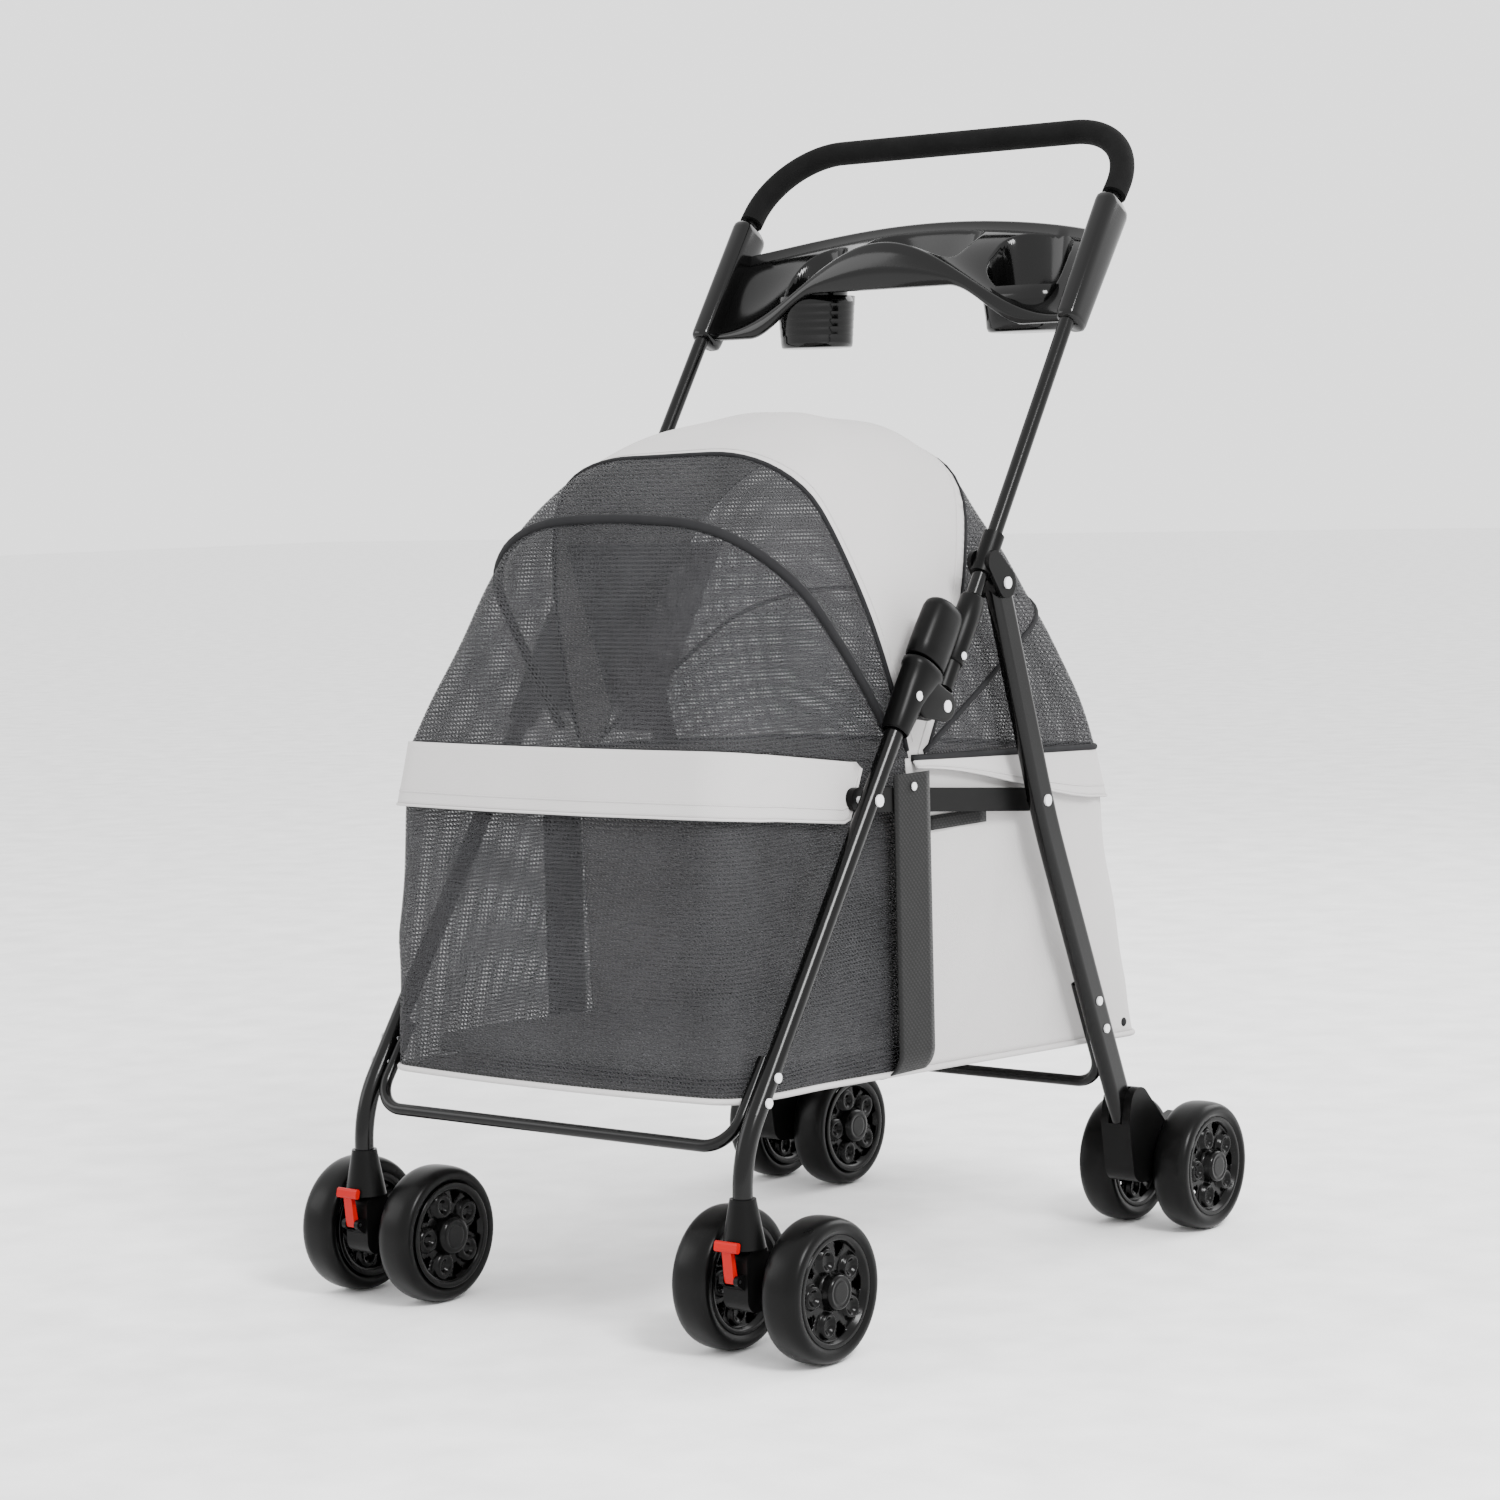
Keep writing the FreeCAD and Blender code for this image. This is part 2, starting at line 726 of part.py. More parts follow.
lever_pin = cross_pin("lever_pin", 3.0, lever_pivot, SIDE - 9, SIDE + 9)

lever_solid = fuse(
    "lever_body",
    pad_body(
        "lever_arm",
        [hull_loop([(*lever_pivot, 2.8), (*lever_top, 1.8)])],
        9.0,
        SIDE,
    ),
    pad_body(
        "lever_head",
        [hull_loop([(STEM_Y - 21.6, 95.0, 2.4), (STEM_Y - 20.8, 98.6, 2.4)])],
        22.0,
        SIDE,
    ),
)
lever_bore = cross_pin("lever_bore", 3.1, lever_pivot, SIDE - 9, SIDE + 9)
lever_right = keep(cut("lever_cut", lever_solid, lever_bore), "swivel_lever_right")
mirrored(lever_right, "swivel_lever_left")


def axle(name, half_length, y):
    """A wheel axle with a pressed cap on each end."""
    return fuse(
        name,
        cross_pin(
            name + "_rod",
            "Dimensions.axle_diameter",
            (y, AXLE_Z),
            SIDE - half_length,
            SIDE + half_length,
        ),
        cross_pin(name + "_cap_a", 14.0, (y, AXLE_Z), SIDE - half_length - 2, SIDE - half_length),
        cross_pin(name + "_cap_b", 14.0, (y, AXLE_Z), SIDE + half_length, SIDE + half_length + 2),
    )


hub_half = size("hub_width") / 2
front_half = size("front_pair_spacing") / 2
rear_half = size("rear_pair_spacing") / 2
front_axle = axle("front_axle", front_half + hub_half + 0.6, 0.0)
caster_pins_right = keep(group("caster_pins", stem, lever_pin, front_axle), "caster_pins_right")
mirrored(caster_pins_right, "caster_pins_left")

# ---------------------------------------------------------------- rear wheel housings

housing_block = pad_body(
    "housing_block",
    [
        hull_loop(
            [
                (REAR_LEG_FOOT[0] + 4.0, REAR_LEG_FOOT[1] - 36.0, 15.0),
                (REAR_AXLE_Y, AXLE_Z, 15.0),
                (REAR_LEG_FOOT[0] + 2.0, REAR_LEG_FOOT[1] + 20.0, 15.0),
                (REAR_LEG_FOOT[0] - 7.0, REAR_LEG_FOOT[1] + 6.0, 10.0),
            ]
        )
    ],
    30.0,
    SIDE,
)
pedal_pivot = (REAR_AXLE_Y + 3.0, AXLE_Z + 28.0)
tongue_plate = pad_body(
    "housing_tongue",
    [hull_loop([(*pedal_pivot, 6.0), (REAR_AXLE_Y - 12.0, AXLE_Z + 10.0, 8.0)])],
    10.0,
    SIDE,
)
socket_mouth = (rear_leg_y(160.0), 160.0)
leg_socket = pad_body(
    "housing_leg_socket",
    [hull_loop([(*REAR_LEG_FOOT, leg_half), (*socket_mouth, leg_half)])],
    "Dimensions.rear_leg_depth",
    SIDE,
)
housing = cut(
    "housing_cut",
    fuse(
        "housing_body", housing_block, tongue_plate,
        cross_pin("housing_boss", 24.0, (REAR_AXLE_Y, AXLE_Z), SIDE - 20, SIDE + 20),
    ),
    fuse(
        "housing_holes", leg_socket,
        cross_pin(
            "housing_axle_bore",
            "Dimensions.axle_diameter",
            (REAR_AXLE_Y, AXLE_Z),
            SIDE - 30,
            SIDE + 30,
        ),
        cross_pin("housing_pedal_hole", 5.0, pedal_pivot, SIDE - 30, SIDE + 30),
    ),
)
housing_right = keep(housing, "rear_housing_right")
mirrored(housing_right, "rear_housing_left")
both_sides("rear_axles", axle("rear_axle", rear_half + hub_half + 0.6, REAR_AXLE_Y))

pedal_block = pad_body(
    "pedal_block",
    [hull_loop([(*pedal_pivot, 6.0), (pedal_pivot[0] + 32.0, pedal_pivot[1] + 4.0, 3.0),
                (pedal_pivot[0] + 30.0, pedal_pivot[1] + 9.0, 3.0)])],
    28.0,
    SIDE,
)
pedal_slot = pad_body("pedal_slot", [circle_loop(*pedal_pivot, 9.0)], 10.8, SIDE)
pedal_bore = cross_pin("pedal_bore", 5.1, pedal_pivot, SIDE - 30, SIDE + 30)
pedal = cut("pedal_cut", pedal_block, fuse("pedal_holes", pedal_slot, pedal_bore))
pedal_right = keep(pedal, "brake_pedal_right")
mirrored(pedal_right, "brake_pedal_left")
half_depth = size("rear_leg_depth") / 2
both_sides(
    "rear_pins",
    cross_pin("brake_pin", 5.0, pedal_pivot, SIDE - 14, SIDE + 14),
    fuse(
        "rail_rear_pin",
        cross_pin("rail_rear_shank", PIN, RAIL_REAR, SIDE - half_depth - 0.3, SIDE + half_depth),
        cross_pin("rail_rear_head", 10.0, RAIL_REAR, SIDE + half_depth, SIDE + half_depth + 1.6),
    ),
    *[
        fuse(
            "cross_rivet_%d" % i,
            cross_pin("cross_shank_%d" % i, 4.0, at, SIDE - half_depth, SIDE + half_depth),
            cross_pin("cross_head_%d" % i, 8.0, at, SIDE + half_depth, SIDE + half_depth + 1.5),
        )
        for i, at in enumerate(rear_cross_at)
    ],
)


# ---------------------------------------------------------------- wheels


def tyre_body(name):
    half = size("wheel_width") / 2
    inner = size("tyre_bore") / 2
    outer = size("wheel_diameter") / 2
    round_off = size("tyre_rounding")
    return revolved_body(
        name,
        [
            hull_loop(
                [
                    (-half, inner, 0.0),
                    (half, inner, 0.0),
                    (half - round_off, outer - round_off, round_off),
                    (round_off - half, outer - round_off, round_off),
                ]
            )
        ],
    )


# one opening of the hub web: a rounded triangle that widens towards the rim
HUB_WINDOW = [(0.0, 17.0, 2.0), (9.0, 31.0, 2.0), (-9.0, 31.0, 2.0)]


def hub_body(name):
    """A moulded hub: boss, web with five windows, and the rim that carries the tyre."""
    rim = size("tyre_bore") / 2
    bore = size("axle_diameter") / 2 + size("running_clearance")
    boss, web, rim_inner, rim_half = 11.0, 3.0, rim - 4.0, 14.0
    body = revolved_body(
        name,
        [
            polygon_loop(
                [
                    (-hub_half, bore), (hub_half, bore), (hub_half, boss), (web, boss),
                    (web, rim_inner), (rim_half, rim_inner), (rim_half, rim), (-rim_half, rim),
                    (-rim_half, rim_inner), (-web, rim_inner), (-web, boss), (-hub_half, boss),
                ]
            )
        ],
    )
    window = new_sketch(
        body, name + "_window", "YZ_Plane", [hull_loop(HUB_WINDOW)]
    )
    pocket = body.newObject("PartDesign::Pocket", name + "_pocket")
    pocket.Profile = window
    pocket.Length = 4 * web
    pocket.Midplane = True
    ring = body.newObject("PartDesign::PolarPattern", name + "_windows")
    ring.Originals = [pocket]
    ring.Axis = (plane_of(body, "X_Axis"), [""])
    ring.Angle = 360
    ring.Occurrences = 5
    body.Tip = ring
    return body


def place_wheel(thing, label, x, y):
    thing.Placement = Placement(Vector(x, y, AXLE_Z), Rotation())
    thing.setExpression("Placement.Base.z", "Dimensions.wheel_diameter / 2")
    thing.Label = label
    thing.setExpression("Placement.Base.y", "%s + Dimensions.front_axle_y" % y)
    sub_parts.append(thing)


WHEEL_PLACES = [
    ("front_%s_%s" % (side, place), sign * SIDE + offset * front_half, 0.0)
    for side, sign in (("right", 1), ("left", -1))
    for place, offset in (("outer", sign), ("inner", -sign))
] + [
    ("rear_%s_%s" % (side, place), sign * SIDE + offset * rear_half, REAR_AXLE_Y)
    for side, sign in (("right", 1), ("left", -1))
    for place, offset in (("outer", sign), ("inner", -sign))
]
for place, x, y in WHEEL_PLACES:
    place_wheel(tyre_body("tyre_" + place), "tyre_" + place, x, y)
    place_wheel(hub_body("hub_" + place), "hub_" + place, x, y)

# ---------------------------------------------------------------- cup tray


def arch(half_span, rise, low, thickness):
    """An arched band in the front view: two arcs that meet at pointed springing ends."""
    radius = (half_span ** 2 + rise ** 2) / (2 * rise)
    middle = low + rise - radius
    swing = math.asin(half_span / radius)
    top = Part.Circle(Vector(0, middle, 0), Vector(0, 0, 1), radius)
    under = Part.Circle(Vector(0, middle, 0), Vector(0, 0, 1), radius - thickness)
    up, down = math.pi / 2 - swing, math.pi / 2 + swing
    top_arc = Part.ArcOfCircle(top, up, down)
    under_arc = Part.ArcOfCircle(under, up, down)
    return [
        top_arc,
        Part.LineSegment(top_arc.EndPoint, under_arc.EndPoint),
        under_arc,
        Part.LineSegment(under_arc.StartPoint, top_arc.StartPoint),
    ]


def front_plate(name, loops, y_from, y_to):
    """A plate drawn in the front view (x across, z up) between two depths."""
    body = pad_body(name, loops, y_to - y_from, role="XZ_Plane")
    body.Placement = Placement(Vector(0, (y_from + y_to) / 2, 0), Rotation())
    return body


tray_front, tray_back = 452.0, 540.0
tray_half = SIDE - size("handle_diameter") / 2
TRAY_WALL = 3.0
TRAY_SPRING_Z = 826.0
DECK_RISE, FRONT_BAND_RISE, BACK_BAND_RISE = 52.0, 66.0, 84.0
FRONT_BAND_DEPTH, BACK_BAND_DEPTH = 34.0, 30.0


def tray_arch(name, rise, depth, y_from, y_to):
    return front_plate(name, [arch(tray_half, rise, TRAY_SPRING_Z, depth)], y_from, y_to)


deck = tray_arch("tray_deck", DECK_RISE, TRAY_WALL, tray_front, tray_back)
front_band = tray_arch(
    "tray_front_band", FRONT_BAND_RISE, FRONT_BAND_DEPTH, tray_front, tray_front + TRAY_WALL
)
back_band = tray_arch("tray_back_band", BACK_BAND_RISE, BACK_BAND_DEPTH, tray_back - TRAY_WALL, tray_back)
# side, x, mouth and foot diameters, height of foot and rim
CUPS = [("left", -94.0, 66.0, 60.0, 803.0, 868.0), ("right", 132.0, 80.0, 58.0, 806.0, 858.0)]
CUP_Y = 494.0
cups = []
wells = []
for side, x, mouth, foot_width, floor_z, rim_z in CUPS:
    shell = doc.addObject("Part::Cone", "cup_shell_" + side)
    shell.Radius1 = foot_width / 2
    shell.Radius2 = mouth / 2
    shell.Height = rim_z - floor_z
    shell.Placement = Placement(Vector(x, CUP_Y, floor_z), Rotation())
    well = doc.addObject("Part::Cone", "cup_well_" + side)
    well.Radius1 = foot_width / 2 - 2.5
    well.Height = 100.0
    well.Radius2 = foot_width / 2 - 2.5 + 50.0 * (mouth - foot_width) / (rim_z - floor_z)
    well.Placement = Placement(Vector(x, CUP_Y, floor_z + TRAY_WALL), Rotation())
    cups.append(shell)
    wells.append(well)
CLAMP_FOOT_Z = 816.0
CLAMP_LENGTH = 104.0
FIN_LENGTH = 100.0
FIN_DEPTH = 30.0
FIN_THICKNESS = 4.0
clamp_low = (handle_y(CLAMP_FOOT_Z), CLAMP_FOOT_Z)
fin_high = (clamp_low[0] + FIN_LENGTH * handle_dir[0], clamp_low[1] + FIN_LENGTH * handle_dir[1])
FIN_OUTLINE = [
    clamp_low,
    (clamp_low[0] + FIN_DEPTH, clamp_low[1]),
    (fin_high[0] + FIN_DEPTH, fin_high[1] - 6.0),
    fin_high,
]
clamps = []
for side, sign in (("right", 1), ("left", -1)):
    clamp_foot = (sign * SIDE, *clamp_low)
    clamps.append(cylinder("tray_clamp_" + side, HANDLE + " + 6", CLAMP_LENGTH, clamp_foot, handle_axis))
    clamps.append(pad_body("tray_fin_" + side, [polygon_loop(FIN_OUTLINE)], FIN_THICKNESS, sign * SIDE))
tray = cut(
    "tray_cut",
    fuse("tray_body", deck, front_band, back_band, *cups, *clamps),
    fuse("tray_holes", *wells, doc.getObject("handle_outer")),
)
keep(tray, "cup_tray")
screw_at = (handle_y(868.0) + 16.0, 868.0)
both_sides("handle_fasteners", leg_pin, cross_pin("tray_screw", 8.0, screw_at, SIDE + 2.0, SIDE + 4.2))

# ---------------------------------------------------------------- soft goods


def plan_wire(half_width, y_front, y_back, corner, z, tilt=0.0):
    """A rounded rectangle in plan; tilt drops it towards the rear."""
    corners = [(-half_width, y_front), (half_width, y_front), (half_width, y_back), (-half_width, y_back)]
    inset = [(-1, -1), (1, -1), (1, 1), (-1, 1)]
    circles = [(x - sx * corner, y - sy * corner, corner) for (x, y), (sx, sy) in zip(corners, inset)]
    wire = Part.Wire([edge.toShape() for edge in hull_loop(circles)])
    wire.Placement = Placement(Vector(0, 0, z), Rotation(Vector(1, 0, 0), -tilt))
    return wire


def lofted(name, wires):
    """A solid loft through closed wires."""
    sections = []
    for i, wire in enumerate(wires):
        section = doc.addObject("Part::Feature", "%s_section_%d" % (name, i))
        section.Shape = wire
        sections.append(section)
    loft = doc.addObject("Part::Loft", name)
    loft.Sections = sections
    loft.Solid = True
    loft.Ruled = True
    return loft


FLOOR_TILT = 2.6
floor_front_z = 200.0
cabin_top = floor_front_z + size("cabin_height") - 2.0
wall = size("fabric_wall")
cabin_w = size("cabin_half_width")


FLOOR_FRONT_Y, FLOOR_REAR_Y = -22.0, 588.0
RIM_FRONT_Y, RIM_REAR_Y = -6.0, 524.0
CABIN_CORNER = 50.0


def cabin_solid(name, grow, low_extra=0.0, high_extra=0.0):
    """The cabin's outer form, grown or shrunk evenly in plan."""
    half, corner = cabin_w + grow, CABIN_CORNER + grow
    floor_z, rim_z = floor_front_z + low_extra, cabin_top + high_extra
    return lofted(
        name,
        [
            plan_wire(half, FLOOR_FRONT_Y - grow, FLOOR_REAR_Y + grow, corner, floor_z, FLOOR_TILT),
            plan_wire(half, RIM_FRONT_Y - grow, RIM_REAR_Y + grow, corner, rim_z),
        ],
    )


PAST_WALL = 8.0
SEAM_GAP = 0.4
seam_y = STRAP_Y - 20.0
cabin_outside = cabin_solid("cabin_outside", 0.0)
cabin_wall = cut("cabin_wall", cabin_outside, cabin_solid("cabin_inside", -wall, -PAST_WALL, PAST_WALL))
ahead_of_seam = box("cabin_front_half", (-300, -200, 100), (300, seam_y - SEAM_GAP, 600))
behind_seam = box("cabin_rear_half", (-300, seam_y, 100), (300, 800, 600))
keep(common("cabin_front_cut", cabin_wall, ahead_of_seam), "cabin_front_mesh")
keep(common("cabin_rear_cut", cabin_wall, behind_seam), "cabin_shell")

BOARD_LOW, BOARD_HIGH = 0.5, 10.0
BOARD_INSET = 8.0
board_half = cabin_w - wall - 1.0
board_levels = [
    plan_wire(
        board_half,
        FLOOR_FRONT_Y + BOARD_INSET,
        FLOOR_REAR_Y - BOARD_INSET,
        CABIN_CORNER - 4.0,
        floor_front_z + lift,
        FLOOR_TILT,
    )
    for lift in (BOARD_LOW, BOARD_HIGH)
]
keep(lofted("board_loft", board_levels), "floor_board")


FLAP_GAP = 0.6
FLAP_THICKNESS = 1.8


def flap_ring(name, z_low, z_high):
    """A skirt round the cabin's top edge, just outside its wall."""
    half = cabin_w + FLAP_GAP
    return cut(
        name,
        lofted(name + "_outside", [
            plan_wire(half + FLAP_THICKNESS, -11.4, 536.6, 50.0, z_low),
            plan_wire(half + FLAP_THICKNESS, -10.0, 532.6, 50.0, z_high),
        ]),
        lofted(name + "_inside", [
            plan_wire(half, -9.4, 534.8, 48.0, z_low - 1.0),
            plan_wire(half, -8.0, 530.8, 48.0, z_high + 1.0),
        ]),
    )


front_ring = flap_ring("front_flap_ring", 424.0, 449.0)
rear_ring = flap_ring("rear_flap_ring", 408.0, 449.0)
front_flap = common("front_flap", front_ring, box("front_flap_zone", (-300, -200, 300), (300, 130, 600)))
rear_flap = common("rear_flap", rear_ring, box("rear_flap_zone", (-300, 416, 300), (300, 800, 600)))
keep(group("flaps", front_flap, rear_flap), "cabin_flaps")

# sling strap: webbing that hangs from both side rails and passes under the floor
strap_x = size("rail_x") + size("rail_thickness") / 2 + 0.8
thick = size("strap_thickness")
strap_bottom = 186.0
STRAP_TOP = 438.0
STRAP_TURN = 16.0


def strap_loop(half, turn, top):
    """A U in the front view, with rounded lower corners."""
    corner_x, corner_z = half - turn, strap_bottom + STRAP_TURN
    return hull_loop([
        (-half, top, 0.0), (-corner_x, corner_z, turn), (corner_x, corner_z, turn), (half, top, 0.0),
    ])


half_strap = size("strap_width") / 2
outer_loop = strap_loop(strap_x + thick, STRAP_TURN, STRAP_TOP)
inner_loop = strap_loop(strap_x, STRAP_TURN - thick, STRAP_TOP + 60.0)
strap_outside = front_plate("strap_outside", [outer_loop], STRAP_Y - half_strap, STRAP_Y + half_strap)
strap_inside = front_plate("strap_inside", [inner_loop], STRAP_Y - half_strap - 15, STRAP_Y + half_strap + 15)
keep(cut("strap_cut", strap_outside, strap_inside), "sling_strap")

# canopy: a dome of plan outlines, split into front mesh, cover and rear mesh
CANOPY_LEVELS = [
    # height, front, back, half width, corner
    (452.0, -4.0, 556.0, 178.0, 60.0),
    (520.0, 8.0, 526.0, 178.0, 70.0),
    (600.0, 30.0, 484.0, 174.0, 80.0),
    (650.0, 62.0, 450.0, 164.0, 80.0),
    (705.0, 165.0, 414.0, 140.0, 70.0),
    (737.0, 232.0, 330.0, 98.0, 45.0),
]


def canopy_solid(name, shrink, drop):
    wires = []
    for z, front, back, half_width, corner in CANOPY_LEVELS:
        half, turn = half_width - shrink, corner - shrink / 2
        wires.append(plan_wire(half, front + shrink, back - shrink, turn, z - drop))
    return lofted(name, wires)


canopy_outside = canopy_solid("canopy_outside", 0.0, 0.0)
canopy_wall = cut("canopy_wall", canopy_outside, canopy_solid("canopy_inside", wall, wall))
HOOP_FOOT = (205.0, 490.0)


def wedge(name, *corners):
    return pad_body(name, [polygon_loop(corners)], 500.0)


# each seam runs from a hoop foot up to where it leaves the dome
FOOT_Z, ABOVE = 440.0, 780.0
foot = HOOP_FOOT[0]
COVER_FRONT_TOP, COVER_REAR_TOP = 167.0, 425.0
canopy_parts = {
    "canopy_front_mesh": [
        (foot - 8, FOOT_Z), (COVER_FRONT_TOP, ABOVE), (-100, ABOVE), (-100, FOOT_Z),
    ],
    "canopy_cover": [
        (foot - 7, FOOT_Z), (foot + 7, FOOT_Z), (COVER_REAR_TOP, ABOVE), (COVER_FRONT_TOP + 1, ABOVE),
    ],
    "canopy_rear_mesh": [
        (foot + 8, FOOT_Z), (700, FOOT_Z), (700, ABOVE), (COVER_REAR_TOP + 1, ABOVE),
    ],
}
for label, corners in canopy_parts.items():
    keep(common(label + "_cut", canopy_wall, wedge(label + "_zone", *corners)), label)


HOOP_HALF = 163.0
HOOP_TURN = 120.0
HOOP_DIAMETER = "3.2"
# name and the side-view place of the middle of each hoop
HOOPS = [("hoop_front", 68.0, 622.0), ("hoop_middle", 180.0, 686.0), ("hoop_rear", 400.0, 655.0)]


def hoop(name, top_y, top_z):
    """A bent rod that springs from both hoop feet and turns over into its level top."""
    corners = [
        Vector(HOOP_HALF, *HOOP_FOOT),
        Vector(HOOP_HALF, top_y, top_z),
        Vector(-HOOP_HALF, top_y, top_z),
        Vector(-HOOP_HALF, *HOOP_FOOT),
    ]
    return swept_rod(name, bend_path(corners, [HOOP_TURN, HOOP_TURN]), HOOP_DIAMETER)


keep(group("hoops", *[hoop(*place) for place in HOOPS]), "canopy_hoops")

# ---------------------------------------------------------------- checks and export

doc.recompute()
for thing in doc.Objects:
    bad = [state for state in thing.State if state in ("Invalid", "Error")]
    if bad:
        raise RuntimeError("%s failed: %s" % (thing.Name, bad))
for thing in sub_parts:
    shape = thing.Shape
    if shape.isNull() or not shape.isValid() or not shape.Solids:
        raise RuntimeError("%s has no valid solid" % thing.Label)

os.makedirs("parts", exist_ok=True)
for thing in sub_parts:
    thing.Shape.exportStep("parts/%s.step" % thing.Label)
print("%d sub-parts written" % len(sub_parts))
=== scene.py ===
import bmesh
import bpy
import json
import math
from mathutils import Matrix, Vector
from mathutils.bvhtree import BVHTree


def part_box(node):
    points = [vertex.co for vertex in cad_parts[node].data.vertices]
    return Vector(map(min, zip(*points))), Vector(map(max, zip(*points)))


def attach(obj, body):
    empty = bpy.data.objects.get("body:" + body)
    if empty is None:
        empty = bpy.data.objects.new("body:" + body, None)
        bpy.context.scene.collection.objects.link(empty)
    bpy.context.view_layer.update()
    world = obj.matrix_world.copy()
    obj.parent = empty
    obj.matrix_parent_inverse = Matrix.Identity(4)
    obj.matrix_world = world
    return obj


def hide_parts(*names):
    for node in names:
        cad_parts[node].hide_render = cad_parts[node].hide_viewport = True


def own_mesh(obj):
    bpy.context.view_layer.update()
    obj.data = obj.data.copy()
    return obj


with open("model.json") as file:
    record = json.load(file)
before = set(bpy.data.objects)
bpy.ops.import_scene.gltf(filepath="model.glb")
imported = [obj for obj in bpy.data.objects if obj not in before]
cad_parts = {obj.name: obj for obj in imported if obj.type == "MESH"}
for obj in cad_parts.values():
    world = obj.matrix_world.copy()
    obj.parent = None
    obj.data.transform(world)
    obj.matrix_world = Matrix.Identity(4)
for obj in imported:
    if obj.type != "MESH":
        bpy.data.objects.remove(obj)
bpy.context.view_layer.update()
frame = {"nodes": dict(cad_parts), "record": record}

# ---------------------------------------------------------------- places, from the frame

wheel_low, wheel_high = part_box("tyre_front_right_outer")
FRONT_AXLE_Y = (wheel_low[1] + wheel_high[1]) / 2
WHEEL_RADIUS = (wheel_high[2] - wheel_low[2]) / 2
WHEEL_WIDTH = wheel_high[0] - wheel_low[0]
leg_low, leg_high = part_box("leg_front_right")
SIDE = (leg_low[0] + leg_high[0]) / 2
TUBE_X = SIDE * 1000
SIDES = ((1, "right"), (-1, "left"))
LEG_LEAN = math.radians(55.4)
HANDLE_LEAN = math.radians(56.73)


def at(x, y, z):
    """A point in millimetres, with y counted back from the front axle, as frame metres."""
    return Vector((x / 1000, FRONT_AXLE_Y + y / 1000, z / 1000))


# ---------------------------------------------------------------- camera, lights, floor

AZIMUTH, ELEVATION, ROLL = math.radians(37.88), math.radians(4.36), math.radians(-1.43)
right = Vector((math.cos(AZIMUTH), math.sin(AZIMUTH), 0))
back = Vector((
    math.sin(AZIMUTH) * math.cos(ELEVATION),
    -math.cos(AZIMUTH) * math.cos(ELEVATION),
    math.sin(ELEVATION),
))
up = back.cross(right)
across = right * math.cos(ROLL) + up * math.sin(ROLL)
upward = up * math.cos(ROLL) - right * math.sin(ROLL)
camera_data = bpy.data.cameras.new("camera")
camera_data.lens = 86.05
camera_data.sensor_width = 36
camera = bpy.data.objects.new("camera", camera_data)
bpy.context.scene.collection.objects.link(camera)
turn = Matrix((across, upward, back)).transposed().to_4x4()
camera.matrix_world = Matrix.Translation(at(1891.07, -2186.63, 686.36)) @ turn
bpy.context.scene.camera = camera


def area_light(name, place, power, width):
    data = bpy.data.lights.new(name, "AREA")
    data.energy = power
    data.size = width
    light = bpy.data.objects.new(name, data)
    bpy.context.scene.collection.objects.link(light)
    light.location = place
    light.rotation_euler = (Vector((0, 0, 0.5)) - Vector(place)).to_track_quat("-Z", "Y").to_euler()


area_light("key", (2.6, -1.2, 2.6), 170, 1.0)
area_light("fill", (-2.6, -2.2, 1.8), 30, 1.6)
area_light("back_rim", (0.8, 3.0, 2.2), 60, 2.0)
world = bpy.data.worlds.new("studio")
bpy.context.scene.world = world
world.use_nodes = True
world.node_tree.nodes["Background"].inputs["Color"].default_value = (1, 1, 1, 1)
world.node_tree.nodes["Background"].inputs["Strength"].default_value = 2.0

# ---------------------------------------------------------------- materials


def new_material(name):
    """A material with its node tree, Principled shader and object coordinates."""
    material = bpy.data.materials.new(name)
    material.use_nodes = True
    tree = material.node_tree
    shader = tree.nodes["Principled BSDF"]
    coordinates = tree.nodes.new("ShaderNodeTexCoord")
    return material, tree, shader, coordinates.outputs["Object"]


def noise(tree, coordinates, scale, detail=4):
    node = tree.nodes.new("ShaderNodeTexNoise")
    node.inputs["Scale"].default_value = scale
    node.inputs["Detail"].default_value = detail
    tree.links.new(coordinates, node.inputs["Vector"])
    return node.outputs["Fac"]


def spread(tree, source, low, high):
    """A value remapped from 0..1 to low..high."""
    node = tree.nodes.new("ShaderNodeMapRange")
    node.inputs["To Min"].default_value = low
    node.inputs["To Max"].default_value = high
    tree.links.new(source, node.inputs["Value"])
    return node.outputs["Result"]


def shade(tree, source, low, high):
    """A colour ramp between two colours."""
    node = tree.nodes.new("ShaderNodeValToRGB")
    node.color_ramp.elements[0].position = 0.3
    node.color_ramp.elements[1].position = 0.7
    node.color_ramp.elements[0].color = (*low, 1)
    node.color_ramp.elements[1].color = (*high, 1)
    tree.links.new(source, node.inputs["Fac"])
    return node.outputs["Color"]


def bump(tree, shader, height, distance, strength):
    node = tree.nodes.new("ShaderNodeBump")
    node.inputs["Strength"].default_value = strength
    node.inputs["Distance"].default_value = distance
    tree.links.new(height, node.inputs["Height"])
    tree.links.new(node.outputs["Normal"], shader.inputs["Normal"])


def hard_material(name, colour, roughness, grain, relief, metallic=0.0, shine=0.5):
    """Paint, plastic, rubber or steel: mottled colour and roughness over a fine grain."""
    material, tree, shader, coordinates = new_material(name)
    broad = noise(tree, coordinates, 14)
    darker = tuple(c * 0.9 for c in colour)
    lighter = tuple(min(1, c * 1.04) for c in colour)
    tree.links.new(shade(tree, broad, darker, lighter), shader.inputs["Base Color"])
    smudge = spread(tree, noise(tree, coordinates, 60), roughness * 0.8, roughness * 1.2)
    tree.links.new(smudge, shader.inputs["Roughness"])
    shader.inputs["Metallic"].default_value = metallic
    shader.inputs["Specular IOR Level"].default_value = shine
    bump(tree, shader, noise(tree, coordinates, grain, 2), relief, 0.4)
    return material


